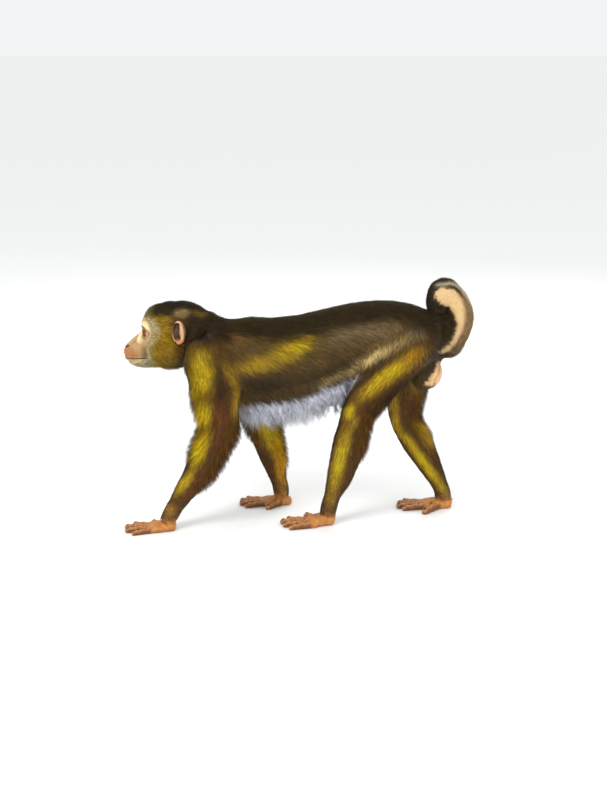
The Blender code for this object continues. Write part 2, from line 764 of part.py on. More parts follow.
def makeEar(head, side, sign, work):
    """The cup of an ear with its root, cut clear of the head."""
    tall, wide, deep = earHalf
    at = Vector((earAt[0], sign * earAt[1], earAt[2]))
    faces = Vector((earFaces[0], sign * earFaces[1], earFaces[2])).normalized()
    turn = Matrix.Rotation(math.radians(8), 4, faces) @ faces.to_track_quat("Z", "X").to_matrix().to_4x4()
    cup = cupForm("ear_" + side, at, turn, (tall, wide, deep), work)
    hollow = cupForm("hollow", at + faces * deep * 0.72, turn, (tall * 0.84, wide * 0.80, deep * 1.02), work)
    combine(cup, hollow, "DIFFERENCE")
    remove(hollow)
    root = ball("root", (at.x - 0.004, sign * 0.0465, at.z - 0.002), (0.008, 0.010, 0.013), work, rings=7)
    combine(cup, root, "UNION")
    remove(root)
    return clearOf(cup, head, work)


def cupForm(name, at, turn, half, work):
    bm = bmesh.new()
    bmesh.ops.create_uvsphere(bm, u_segments=12, v_segments=8, radius=1)
    bm.transform(Matrix.Translation(at) @ turn @ Matrix.Diagonal((*half, 1)))
    return addMesh(name, bm, work)


def makeTail(rump, work):
    """The curled tail in three lengths."""
    base = oneSkin("tail_base", [loft("tail", tailLine, work)], *tailSkin, work)
    pieces = [base]
    for name, station in (("tail_middle", tailMiddleStart), ("tail_tip", tailTipStart)):
        along = Vector(tailLine[station + 1][:3]) - Vector(tailLine[station - 1][:3])
        pieces.append(planeCut(pieces[-1], tailLine[station][:3], along, name, work))
    for piece in pieces:
        clearOf(piece, rump, work)
    return pieces


def makeSwelling(neighbours, work):
    lobes = [ball("lobe", (lobeAt[0], sign * lobeAt[1], lobeAt[2]), lobeRadii, work) for side, sign in bothSides]
    swelling = oneSkin("perineal_swelling", lobes, *tailSkin, work)
    for other in neighbours:
        clearOf(swelling, other, work)
    return swelling


def standOnOrigin(pieces):
    """Moves the animal so that the middle of its bounding box stands on the origin."""
    corners = [vert.co for piece in pieces for vert in piece.data.vertices]
    middle = [(min(co[k] for co in corners) + max(co[k] for co in corners)) / 2 for k in (0, 1)]
    for piece in pieces:
        piece.data.transform(Matrix.Translation((-middle[0], -middle[1], 0)))


def main():
    clearScene()
    work = newCollection("forms")
    parts = newCollection("northern_pig_tailed_macaque")
    draw = random.Random(7)
    body = makeBody(work)
    fuse(body, bellyLocks(draw))
    nodes = {}
    for side, sign in bothSides:
        arm = partLimb(body, armLines[side], elbowStation, ("upper_arm_" + side, "forearm_" + side), work)
        leg = partLimb(body, legLines[side], kneeStation, ("thigh_" + side, "shank_" + side), work)
        for piece in arm + leg:
            nodes[piece.name] = piece
        nodes["hand_" + side] = makePaw("hand_" + side, armLines[side], work)
        nodes["foot_" + side] = makePaw("foot_" + side, legLines[side], work)
    trimmed(body, headSeam, headSeamFaces)
    nodes["neck"] = planeCut(body, chestSeam, chestSeamFaces, "neck", work)
    nodes["rump"] = planeCut(body, (rumpStart, 0, 0.3), (1, 0, 0), "rump", work)
    nodes["loin"] = planeCut(body, (loinStart, 0, 0.3), (1, 0, 0), "loin", work)
    body.name = "chest"
    nodes["chest"] = body
    for piece in makeTail(nodes["rump"], work):
        nodes[piece.name] = piece
    touching = ("rump", "thigh_left", "thigh_right", "tail_base")
    nodes["perineal_swelling"] = makeSwelling([nodes[name] for name in touching], work)
    for piece in makeHead(work):
        nodes[piece.name] = piece
    for side, sign in bothSides:
        nodes["ear_" + side] = makeEar(nodes["head"], side, sign, work)
        clearOf(nodes["upper_arm_" + side], nodes["head"], work)
        fuse(nodes["head"], cheekLocks(nodes["head"], sign, draw))
    bare = ("perineal", "ear", "hand", "foot")
    standOnOrigin(nodes.values())
    for name, piece in nodes.items():
        finish = coatFinish
        if name.startswith(bare):
            finish = skinFinish
        if name.startswith("eye"):
            finish = eyeFinish
        paint(piece, *finish)
        work.objects.unlink(piece)
        parts.objects.link(piece)


main()
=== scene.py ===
import math

import bmesh
import bpy
import numpy as np
from mathutils import Matrix, Vector
from mathutils.bvhtree import BVHTree


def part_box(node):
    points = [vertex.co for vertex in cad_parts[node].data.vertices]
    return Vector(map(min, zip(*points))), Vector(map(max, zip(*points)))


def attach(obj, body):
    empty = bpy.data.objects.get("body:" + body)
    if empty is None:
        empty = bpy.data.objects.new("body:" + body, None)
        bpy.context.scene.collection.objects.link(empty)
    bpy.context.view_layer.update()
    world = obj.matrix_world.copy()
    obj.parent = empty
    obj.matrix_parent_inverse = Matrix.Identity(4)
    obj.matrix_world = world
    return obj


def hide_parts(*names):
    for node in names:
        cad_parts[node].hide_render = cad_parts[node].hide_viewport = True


# Northern pig-tailed macaque, life size, walking to the left. Metres, +Z up, left side at -Y.
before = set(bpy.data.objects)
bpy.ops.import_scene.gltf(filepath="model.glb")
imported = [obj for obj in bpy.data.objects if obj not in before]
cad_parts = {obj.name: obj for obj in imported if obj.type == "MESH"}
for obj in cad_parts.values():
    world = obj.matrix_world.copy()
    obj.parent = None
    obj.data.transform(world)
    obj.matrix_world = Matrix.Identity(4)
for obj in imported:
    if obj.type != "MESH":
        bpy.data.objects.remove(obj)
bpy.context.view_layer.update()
scene = bpy.context.scene
draw = np.random.default_rng(19)
bothSides = (("left", -1), ("right", 1))

# All shapes are made round the eyes' own middle and put in their place at the end
eyeMiddle = sum((sum(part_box("eye_" + side), Vector()) / 2 for side, _ in bothSides), Vector()) / 2
bodyShift = Vector((eyeMiddle.x + 0.2380, eyeMiddle.y, 0))


# Small tools

def tone(red, green, blue):  # a colour as a painter reads it, 0 to 255
    return np.array([(value / 255) ** 2.2 for value in (red, green, blue)])


def ramp(value, start, end):  # 0 before start, 1 after end, smooth between
    share = np.clip((value - start) / (end - start), 0, 1)
    return share * share * (3 - 2 * share)


def fall(value, start, end):  # the other way round: 1 before start, 0 after end
    return 1 - ramp(value, start, end)


def hill(value, middle, spread):  # 1 at the middle, falling to 0 on both sides
    return np.exp(-(((value - middle) / spread) ** 2))


def unit(vectors):
    return vectors / np.maximum(np.linalg.norm(vectors, axis=-1, keepdims=True), 1e-9)


def mix(one, two, share):
    return one * (1 - share[:, None]) + two * share[:, None]


def newObject(name, mesh):
    made = bpy.data.objects.new(name, mesh)
    scene.collection.objects.link(made)
    return made


def fromBmesh(name, bm):
    bm.normal_update()
    bmesh.ops.recalc_face_normals(bm, faces=bm.faces)
    mesh = bpy.data.meshes.new(name)
    bm.to_mesh(mesh)
    bm.free()
    return newObject(name, mesh)


def drop(obj):
    bpy.data.objects.remove(obj, do_unlink=True)


def settle(obj):  # applies the modifiers
    bpy.context.view_layer.update()
    graph = bpy.context.evaluated_depsgraph_get()
    mesh = bpy.data.meshes.new_from_object(obj.evaluated_get(graph))
    obj.modifiers.clear()
    obj.data = mesh
    return obj


def readAll(items, name, width, kind=np.float32):
    flat = np.empty(len(items) * width, kind)
    items.foreach_get(name, flat)
    return flat.reshape(-1, width)


def pointsOf(obj):
    return readAll(obj.data.vertices, "co", 3).astype(float)


def normalsOf(obj):
    return readAll(obj.data.vertex_normals, "vector", 3).astype(float)


def edgesOf(obj):
    return readAll(obj.data.edges, "vertices", 2, np.int32)


def setPoints(obj, points):
    obj.data.vertices.foreach_set("co", points.astype(np.float32).ravel())
    obj.data.update()


def addValues(mesh, name, kind, slot, values):  # an attribute with one value for each point
    mesh.attributes.new(name, kind, "POINT").data.foreach_set(slot, np.array(values, np.float32).ravel())


def addColours(mesh, name, colours):
    addValues(mesh, name, "FLOAT_COLOR", "color", np.column_stack([colours, np.ones(len(colours))]))


def onSide(place, sign):  # a place or way given for the right side, or its mirror
    return place[0], sign * place[1], place[2]


def onRun(points, one, two):  # the run from one to two, each point's share along it, and the way off it
    run = two - one
    share = np.clip((points - one) @ run / (run @ run), 0, 1)
    return run, share, points - one - share[:, None] * run


def relax(values, edges, rounds, weight=1.0):  # evens out values over the mesh
    count = len(values)
    one, two = edges[:, 0], edges[:, 1]
    ends = np.concatenate([one, two])
    others = np.concatenate([two, one])
    near = np.maximum(np.bincount(ends, minlength=count), 1)
    values = values.copy()
    for _ in range(rounds):
        for k in range(values.shape[1]):
            mean = np.bincount(ends, values[others, k], count) / near
            values[:, k] += (mean - values[:, k]) * weight
    return values


def between(stations, steps):  # a smooth run of values through the stations
    run, last = [], len(stations) - 1
    rows = np.array(stations, float)
    for i in range(last):
        before, here, there, after = rows[max(i - 1, 0)], rows[i], rows[i + 1], rows[min(i + 2, last)]
        for t in np.arange(steps) / steps:
            square, cube = t * t, t**3
            run.append(0.5 * (
                2 * here + (there - before) * t
                + (2 * before - 5 * here + 4 * there - after) * square
                + (3 * here - before - 3 * there + after) * cube
            ))
    run.append(rows[last])
    return run


def loft(stations, sides=24, steps=4, across=(0, 1, 0)):  # a tube of changing oval section
    run = between(stations, steps)
    bm = bmesh.new()
    rings = []
    for i, (x, y, z, deep, wide) in enumerate(run):
        along = Vector(run[min(i + 1, len(run) - 1)][:3]) - Vector(run[max(i - 1, 0)][:3])
        along.normalize()
        side = (Vector(across) - along * along.dot(Vector(across))).normalized()
        up = along.cross(side)
        turns = [2 * math.pi * k / sides for k in range(sides)]
        at = Vector((x, y, z))
        spots = [at + up * (deep * math.cos(a)) + side * (wide * math.sin(a)) for a in turns]
        rings.append([bm.verts.new(spot) for spot in spots])
    for one, two in zip(rings, rings[1:]):
        for k in range(sides):
            bm.faces.new((one[k], one[(k + 1) % sides], two[(k + 1) % sides], two[k]))
    bm.faces.new(rings[0])
    bm.faces.new(rings[-1])
    return fromBmesh("form", bm)


def ball(at, radii, turn=(0, 0, 0), rings=24):  # turn is about X, then Y, then Z, in degrees
    bm = bmesh.new()
    bmesh.ops.create_uvsphere(bm, u_segments=2 * rings, v_segments=rings, radius=1)
    turns = [Matrix.Rotation(math.radians(turn[k]), 4, "XYZ"[k]) for k in (2, 1, 0)]
    size = Matrix.Diagonal((*radii, 1))
    bm.transform(Matrix.Translation(at) @ turns[0] @ turns[1] @ turns[2] @ size)
    return fromBmesh("form", bm)


def oneSkin(name, forms, voxel, rounds):  # one closed surface over overlapping forms
    bm = bmesh.new()
    for form in forms:
        bm.from_mesh(form.data)
        drop(form)
    mesh = bpy.data.meshes.new(name)
    bm.to_mesh(mesh)
    bm.free()
    obj = newObject(name, mesh)
    skin = obj.modifiers.new("skin", "REMESH")
    skin.mode = "VOXEL"
    skin.voxel_size = voxel
    soften = obj.modifiers.new("soften", "SMOOTH")
    soften.factor = 0.5
    soften.iterations = rounds
    return settle(obj)


def thin(obj, most):  # keeps about this many triangles, fine where the form is fine
    corners = sum(len(face.vertices) - 2 for face in obj.data.polygons)
    if corners > most:
        step = obj.modifiers.new("thin", "DECIMATE")
        step.ratio = most / corners
        settle(obj)
    return obj


def combine(obj, other, operation):
    step = obj.modifiers.new("step", "BOOLEAN")
    step.operation = operation
    step.object = other
    step.solver = "MANIFOLD"
    settle(obj)
    drop(other)
    return obj


def noise(points, size, seed):  # soft even noise, about -1 to 1, from a few crossed waves
    waves = np.random.default_rng(seed)
    total = np.zeros(len(points))
    for _ in range(7):
        way = unit(waves.normal(size=3)) * waves.uniform(0.6, 1.5) * 2 * math.pi / size
        total += np.sin(points @ way + waves.uniform(0, 6.28))
    return total / 3.2


# Head. Lines: x, y, z, half depth, half width

head = {
    "voxel": 0.00075,
    "faces": 70000,
    "balls": [
        ((-0.190, 0, 0.3035), (0.0540, 0.0465, 0.0475)),
        ((-0.216, 0, 0.3135), (0.0345, 0.0375, 0.0335)),
        ((-0.204, 0, 0.3090), (0.0440, 0.0425, 0.0412)),
        ((-0.163, 0, 0.2970), (0.0430, 0.0465, 0.0415)),
        ((-0.263, 0, 0.2560), (0.0095, 0.0130, 0.0066)),
    ],
    "pairedBalls": [
        ((-0.2040, 0.0245, 0.2790), (0.0350, 0.0270, 0.0275)),
        ((-0.2300, 0.0255, 0.2950), (0.0120, 0.0100, 0.0090)),
        ((-0.2620, 0.0100, 0.2710), (0.0148, 0.0110, 0.0086)),
        ((-0.2722, 0.0048, 0.2800), (0.0050, 0.0046, 0.0044)),
    ],
    "neck": [
        (-0.110, 0.0, 0.272, 0.048, 0.044),
        (-0.135, 0.0, 0.281, 0.044, 0.045),
        (-0.165, 0.0, 0.294, 0.044, 0.044),
        (-0.195, 0.0, 0.303, 0.041, 0.042),
    ],
    "jaw": [
        (-0.180, 0, 0.268, 0.0150, 0.0290),
        (-0.210, 0, 0.2645, 0.0130, 0.0265),
        (-0.240, 0, 0.2592, 0.0112, 0.0208),
        (-0.260, 0, 0.2570, 0.0093, 0.0158),
        (-0.268, 0, 0.2572, 0.0064, 0.0110),
    ],
    "muzzle": [
        (-0.205, 0, 0.287, 0.0270, 0.0350),
        (-0.235, 0, 0.282, 0.0255, 0.0238),
        (-0.251, 0, 0.276, 0.0208, 0.0204),
        (-0.265, 0, 0.270, 0.0160, 0.0184),
        (-0.2745, 0, 0.2675, 0.0114, 0.0150),
        (-0.2780, 0, 0.2665, 0.0070, 0.0090),
    ],
    "nose": [
        (-0.234, 0, 0.3105, 0.0068, 0.0098),
        (-0.2425, 0, 0.3028, 0.0067, 0.0084),
        (-0.2540, 0, 0.2934, 0.0066, 0.0076),
        (-0.2650, 0, 0.2850, 0.0060, 0.0072),
        (-0.2715, 0, 0.2796, 0.0045, 0.0055),
    ],
    "brow": [
        (-0.2235, -0.0370, 0.3085, 0.0040, 0.0040),
        (-0.2342, -0.0300, 0.3145, 0.0052, 0.0052),
        (-0.2436, -0.0170, 0.3172, 0.0058, 0.0058),
        (-0.2460, 0.0000, 0.3162, 0.0055, 0.0055),
    ],
}
eye = {
    "at": (-0.2380, 0.0162, 0.3050),
    "radius": 0.0092,
    "gazeOutward": 31,
    "gap": 0.00015,
    "lid": 0.0017,
    "opening": (0.0060, 0.0079, 0.0049),
    "openingDrop": 0.0006,
    "cornea": 0.0007,
    "corneaEdge": 38,
}
# A nostril is a slit that runs back and up over the wing of the nose
nostril = {"at": (-0.2742, 0.0072, 0.2808), "half": (0.0056, 0.0026, 0.0009), "turn": (0, -27, 34)}
mouth = {
    "height": 0.2626, "front": -0.268, "corner": -0.2405, "smile": 0.0012, "width": 0.0009, "depth": 0.0022,
}
ear = {
    "at": (-0.1870, 0.0562, 0.3125),
    "half": (0.0180, 0.0112, 0.0082),
    "faces": (-0.66, 0.75, 0.06),
    "lean": 8,
    "rim": 0.0012,
}


def gazeOf(sign):
    gaze = Vector((-1, 0, 0))
    gaze.rotate(Matrix.Rotation(math.radians(-sign * eye["gazeOutward"]), 3, "Z"))
    return gaze


def eyeAt(sign):
    return Vector(onSide(eye["at"], sign))


def lipLine(x):  # height of the line between the lips
    return mouth["height"] + mouth["smile"] * ramp(x, mouth["front"], mouth["corner"]) ** 2


def carveMouth(obj):  # a groove of even depth round the front of the muzzle, rising a little at its corners
    bm = bmesh.new()
    bmesh.ops.create_grid(bm, x_segments=60, y_segments=60, size=1)
    long, wide = 0.048, 0.040
    middle = Matrix.Translation((mouth["corner"] - long, 0, mouth["height"]))
    bm.transform(middle @ Matrix.Diagonal((long, wide, 1, 1)))
    for vert in bm.verts:
        back = ramp(vert.co.x, mouth["front"], mouth["corner"])
        vert.co.z += mouth["smile"] * back * back - 0.0006 * hill(vert.co.y, 0, 0.006)
    sheet = fromBmesh("slab", bm)
    wall = sheet.modifiers.new("wall", "SOLIDIFY")
    wall.thickness = mouth["width"]
    wall.offset = 0
    settle(sheet)
    inner = newObject("inner", obj.data.copy())
    setPoints(inner, pointsOf(obj) - normalsOf(obj) * mouth["depth"])
    combine(sheet, inner, "DIFFERENCE")
    return combine(obj, sheet, "DIFFERENCE")


def sculptHead(points):  # how far each point of the head moves along its normal
    x, y, z = points.T
    wide = np.abs(y)
    move = np.zeros(len(points))
    for sign in (-1, 1):
        at, gaze = np.array(eyeAt(sign)), np.array(gazeOf(sign))
        away = points - at
        ring = np.linalg.norm(away - (away @ gaze)[:, None] * gaze, axis=1)
        ring *= 1 + 0.10 * ramp(np.abs(z - at[2]), 0.002, 0.010)
        near = ramp(away @ gaze, -0.006, 0.002)
        move -= 0.0005 * hill(ring, 0.0122, 0.0007) * near
        move -= 0.0004 * hill(ring, 0.0148, 0.0008) * near * (z < at[2])
        move += 0.0004 * hill(ring, 0.0134, 0.0007) * near
    # Furrows of the brow
    brow = ramp(z, 0.3165, 0.3195) * ramp(-x, 0.226, 0.236) * fall(z, 0.327, 0.331)
    move += 0.00030 * np.sin((z + 0.02 * wide) * 2 * math.pi / 0.0026) * brow
    # Fine creases that run down the sides of the muzzle, and across the root of the nose
    side = ramp(wide, 0.007, 0.013) * ramp(-x, 0.241, 0.249)
    side = side * fall(z, 0.289, 0.296) * ramp(z, 0.266, 0.270)
    move += 0.00022 * np.sin((x + 0.35 * z + 0.002 * np.sin(z * 900)) * 2 * math.pi / 0.0030) * side
    root = ramp(z, 0.2990, 0.3030) * fall(z, 0.311, 0.315)
    root = root * fall(wide, 0.006, 0.009) * ramp(-x, 0.236, 0.240)
    move += 0.00022 * np.sin((z + 0.3 * wide) * 2 * math.pi / 0.0023) * root
    # Furrow from the wing of the nose down to the lip, and the groove under the nose
    wing = hill(wide, 0.0105, 0.0012) * ramp(-x, 0.262, 0.266) * hill(z, 0.2790, 0.0050)
    move -= 0.0008 * wing
    move -= 0.0006 * hill(y, 0, 0.0012) * ramp(-x, 0.270, 0.274) * hill(z, 0.2700, 0.0040)
    # Lips: rolled edges above and below the line of the mouth
    line = lipLine(x)
    front = ramp(-x, 0.2405, 0.246)
    for high, middle, spread in (
        (0.0007, 0.0016, 0.0011), (0.0008, -0.0015, 0.0012),
        (-0.0006, 0.0050, 0.0012), (-0.0006, -0.0044, 0.0010),
    ):
        move += high * hill(z - line, middle, spread) * front
    # Fine grain
    bare = ramp(-x, 0.226, 0.232)
    move += 0.00010 * noise(points, 0.0034, 3) * bare
    return move


# Where an ear is, its turn (long way X, across Y, out of the hollow Z), and which way across is its front
def earFrame(sign):
    at, faces = Vector(onSide(ear["at"], sign)), Vector(onSide(ear["faces"], sign)).normalized()
    lean = Matrix.Rotation(math.radians(ear["lean"]), 4, faces)
    turn = lean @ faces.to_track_quat("Z", "X").to_matrix().to_4x4()
    front = -1 if (turn @ Vector((0, 1, 0))).x > 0 else 1
    return at, turn, front


def makeEar(sign):
    (tall, wide, deep), thick = ear["half"], ear["rim"]
    at, turn, front = earFrame(sign)

    def placed(form):
        form.data.transform(Matrix.Translation(at) @ turn)
        return form

    cup = placed(ball((0, 0, 0), (tall, wide, deep), rings=30))
    hollow = placed(ball((0, 0, deep * 0.66), (tall * 0.91, wide * 0.87, deep * 1.05), rings=30))
    forms = [combine(cup, hollow, "DIFFERENCE")]
    rim = [
        (tall * 0.90 * math.cos(a), -front * wide * 0.89 * math.sin(a + 0.15), deep * 0.42, thick, thick)
        for a in np.radians(np.linspace(-150, 165, 22))
    ]
    fold = [
        (tall * 0.56 * math.cos(a), front * wide * 0.44 * -math.sin(a), -deep * 0.02, 0.0018, 0.0015)
        for a in np.radians(np.linspace(15, 150, 9))
    ]
    forms += [placed(loft(line, sides=10, steps=2, across=(0.02, 0.01, 1))) for line in (rim, fold)]
    # The small flap before the hollow, the lobe, and the thick middle behind
    forms += [placed(ball(spot, radii)) for spot, radii in (
        ((-tall * 0.10, front * wide * 0.72, deep * 0.25), (0.0042, 0.0022, 0.0026)),
        ((-tall * 0.82, front * wide * 0.16, deep * 0.12), (0.0042, 0.0044, 0.0030)),
        ((0, 0, -deep * 0.75), (0.0090, 0.0060, 0.0080)),
    )]
    root = at + Vector((-0.003, -sign * 0.0105, -0.002))
    forms.append(ball(root, (0.0075, 0.0105, 0.0120)))
    return thin(oneSkin("ear", forms, 0.00055, 4), 9000)


def makeHead():
    forms = [ball(at, radii) for at, radii in head["balls"]]
    for _, sign in bothSides:
        forms += [ball(onSide(at, sign), radii) for at, radii in head["pairedBalls"]]
    brow = head["brow"] + [(x, -y, z, deep, wide) for x, y, z, deep, wide in reversed(head["brow"][:-1])]
    forms += [loft(head[line]) for line in ("neck", "jaw", "muzzle", "nose")]
    forms.append(loft(brow, across=(1, 0, 0)))
    skull = oneSkin("skull", forms, 0.0012, 14)
    for _, sign in bothSides:
        at, gaze, aside = eyeAt(sign), gazeOf(sign), (0, 0, -sign * eye["gazeOutward"])
        socket = ball(at + gaze * (eye["radius"] + 0.0078), (0.0095, 0.0128, 0.0100), aside)
        combine(skull, socket, "DIFFERENCE")
        combine(skull, ball(at, [eye["radius"] + eye["lid"]] * 3), "UNION")
    made = oneSkin("head", [skull], head["voxel"], 6)
    setPoints(made, pointsOf(made) + normalsOf(made) * sculptHead(pointsOf(made))[:, None])
    thin(made, head["faces"])
    carveMouth(made)
    for _, sign in bothSides:
        at, gaze, aside = eyeAt(sign), gazeOf(sign), (sign * 6, 0, -sign * eye["gazeOutward"])
        middle = at + gaze * eye["radius"] - Vector((0, 0, eye["openingDrop"]))
        combine(made, ball(middle, eye["opening"], aside), "DIFFERENCE")
        combine(made, ball(at, [eye["radius"] + eye["gap"]] * 3), "DIFFERENCE")
        _, pitch, yaw = nostril["turn"]
        slit = ball(onSide(nostril["at"], sign), nostril["half"], (0, pitch, sign * yaw))
        combine(made, slit, "DIFFERENCE")
        combine(made, makeEar(sign), "UNION")
    return made


# Hands and feet. Palms: x, y, z, half thickness, half width. Digits: knuckle x and y, tip x and y, radius

paws = {
    "hand_left": {
        "palm": [
            (-0.196, -0.079, 0.0067, 0.0060, 0.0090),
            (-0.205, -0.079, 0.0070, 0.0084, 0.0145),
            (-0.220, -0.081, 0.0066, 0.0080, 0.0180),
            (-0.236, -0.084, 0.0057, 0.0070, 0.0195),
            (-0.243, -0.085, 0.0050, 0.0058, 0.0185),
        ],
        "wrist": [(-0.180, -0.076, 0.063, 0.0115, 0.0110), (-0.193, -0.077, 0.043, 0.0120, 0.0126),
                  (-0.203, -0.078, 0.026, 0.0126, 0.0146), (-0.209, -0.0785, 0.014, 0.0118, 0.0145)],
        "digits": [
            (-0.214, -0.068, -0.236, -0.049, 0.0047), (-0.236, -0.070, -0.265, -0.061, 0.0047),
            (-0.240, -0.079, -0.276, -0.078, 0.0049), (-0.240, -0.089, -0.274, -0.095, 0.0047),
            (-0.236, -0.098, -0.262, -0.110, 0.0043),
        ],
    },
    "hand_right": {
        "palm": [
            (-0.016, 0.066, 0.0057, 0.0060, 0.0090),
            (-0.026, 0.064, 0.0067, 0.0080, 0.0140),
            (-0.042, 0.063, 0.0060, 0.0074, 0.0175),
            (-0.058, 0.063, 0.0052, 0.0064, 0.0190),
            (-0.065, 0.063, 0.0046, 0.0054, 0.0180),
        ],
        "wrist": [(-0.040, 0.066, 0.058, 0.0112, 0.0108), (-0.035, 0.066, 0.040, 0.0120, 0.0126),
                  (-0.032, 0.066, 0.026, 0.0128, 0.0145), (-0.031, 0.066, 0.014, 0.0120, 0.0145)],
        "digits": [
            (-0.034, 0.052, -0.055, 0.028, 0.0047), (-0.060, 0.050, -0.091, 0.040, 0.0045),
            (-0.063, 0.059, -0.100, 0.054, 0.0047), (-0.063, 0.068, -0.100, 0.071, 0.0045),
            (-0.059, 0.077, -0.091, 0.086, 0.0041),
        ],
    },
    "foot_left": {
        "palm": [
            (0.055, -0.049, 0.0087, 0.0072, 0.0080),
            (0.047, -0.050, 0.0097, 0.0108, 0.0125),
            (0.034, -0.052, 0.0087, 0.0100, 0.0150),
            (0.018, -0.055, 0.0067, 0.0080, 0.0180),
            (0.008, -0.057, 0.0052, 0.0062, 0.0185),
        ],
        "wrist": [(0.0595, -0.053, 0.070, 0.0120, 0.0112), (0.0520, -0.051, 0.049, 0.0118, 0.0120),
                  (0.0470, -0.050, 0.032, 0.0126, 0.0138), (0.0440, -0.050, 0.018, 0.0125, 0.0140)],
        "digits": [
            (0.036, -0.043, 0.008, -0.018, 0.0060), (0.013, -0.043, -0.022, -0.036, 0.0050),
            (0.010, -0.052, -0.031, -0.050, 0.0052), (0.011, -0.062, -0.027, -0.066, 0.0050),
            (0.015, -0.071, -0.017, -0.081, 0.0047),
        ],
    },
    "foot_right": {
        "palm": [
            (0.250, 0.041, 0.0082, 0.0070, 0.0080),
            (0.241, 0.042, 0.0092, 0.0100, 0.0125),
            (0.226, 0.043, 0.0082, 0.0092, 0.0150),
            (0.208, 0.045, 0.0062, 0.0074, 0.0180),
            (0.197, 0.046, 0.0048, 0.0058, 0.0185),
        ],
        "wrist": [(0.2180, 0.049, 0.062, 0.0116, 0.0110), (0.2285, 0.045, 0.042, 0.0122, 0.0122),
                  (0.2340, 0.043, 0.028, 0.0128, 0.0138), (0.2360, 0.042, 0.016, 0.0130, 0.0140)],
        "digits": [
            (0.224, 0.032, 0.201, 0.002, 0.0058), (0.201, 0.032, 0.168, 0.024, 0.0049),
            (0.198, 0.041, 0.159, 0.038, 0.0050), (0.199, 0.051, 0.161, 0.054, 0.0049),
            (0.203, 0.060, 0.170, 0.069, 0.0045),
        ],
    },
}
digit = {
    "voxel": 0.00070,
    "faces": 11000,
    # Share of its length, height and size as shares of its radius
    "shape": [
        (-0.35, 0.95, 1.00), (0.00, 0.96, 1.12), (0.18, 0.92, 1.00), (0.42, 0.98, 1.08),
        (0.58, 0.84, 0.95), (0.76, 0.84, 1.02), (0.90, 0.72, 0.92), (1.00, 0.42, 0.62),
    ],
    "creases": (0.20, 0.42, 0.62),
}


def alongDigit(points, fromX, fromY, toX, toY):  # share along a digit, distance to its side, and its length
    run = np.array([toX - fromX, toY - fromY])
    long = np.linalg.norm(run)
    away = points[:, :2] - np.array([fromX, fromY])
    return away @ run / long**2, (away @ np.array([-run[1], run[0]])) / long, long


def creaseDigits(points, normals, digits):  # folds over the joints of the digits, tendons behind them
    move = np.zeros(len(points))
    for *ends, radius in digits:
        along, aside, long = alongDigit(points, *ends)
        on = fall(np.abs(aside), radius * 0.8, radius * 1.1) * ramp(normals[:, 2], 0.0, 0.4)
        for joint in digit["creases"]:
            for step in (-0.045, 0.0, 0.045):
                move -= 0.00026 * hill(along * long, (joint + step) * long, 0.00055) * on
        tendon = hill(aside, 0, 0.0016) * ramp(along, -0.75, -0.45) * fall(along, -0.10, 0.0)
        move += 0.0007 * tendon * ramp(normals[:, 2], 0.2, 0.6)
    return move + 0.00009 * noise(points, 0.0030, 5)


def makePaw(name):
    paw = paws[name]
    forms = [loft(paw["palm"]), loft(paw["wrist"])]
    for fromX, fromY, toX, toY, radius in paw["digits"]:
        rows = [
            (fromX + (toX - fromX) * share, fromY + (toY - fromY) * share,
             height * radius, size * radius * 0.98, size * radius * 1.04)
            for share, height, size in digit["shape"]
        ]
        forms.append(loft(rows, sides=18, steps=3))
    made = oneSkin(name, forms, digit["voxel"], 4)
    points = pointsOf(made)
    points += normalsOf(made) * creaseDigits(points, normalsOf(made), paw["digits"])[:, None]
    pressed = 0.00005 + 0.1 * np.maximum(points[:, 2], 0)
    points[:, 2] = np.where(points[:, 2] < 0.0004, pressed, points[:, 2])
    setPoints(made, points)
    return thin(made, digit["faces"])


# Swelling under the tail

swelling = {"at": (0.200, 0.012, 0.240), "radii": (0.0255, 0.0215, 0.0270), "voxel": 0.0012}


def makeSwelling():
    x, _, z = swelling["at"]
    lobes = [ball(onSide(swelling["at"], sign), swelling["radii"]) for _, sign in bothSides]
    lobes.append(ball((x + 0.006, 0, z + 0.020), (0.020, 0.020, 0.018)))
    made = oneSkin("swelling", lobes, swelling["voxel"], 8)
    points, normals = pointsOf(made), normalsOf(made)
    ring = np.linalg.norm(points - np.array([x + 0.016, 0, z - 0.006]), axis=1)
    move = -0.0022 * hill(points[:, 1], 0, 0.0022) * ramp(points[:, 0], x, x + 0.012)
    wrinkles = np.sin(ring * 2 * math.pi / 0.0052 + 1.2 * noise(points, 0.02, 8))
    move += 0.00045 * wrinkles * ramp(ring, 0.010, 0.018)
    move += 0.00020 * noise(points, 0.006, 9)
    setPoints(made, points + normals * move[:, None])
    return thin(made, 7000)


# Coat. Each region has the line that its hair follows, how far it reaches, and its hair:
# length, half width, lift in degrees and tufts on each square millimetre

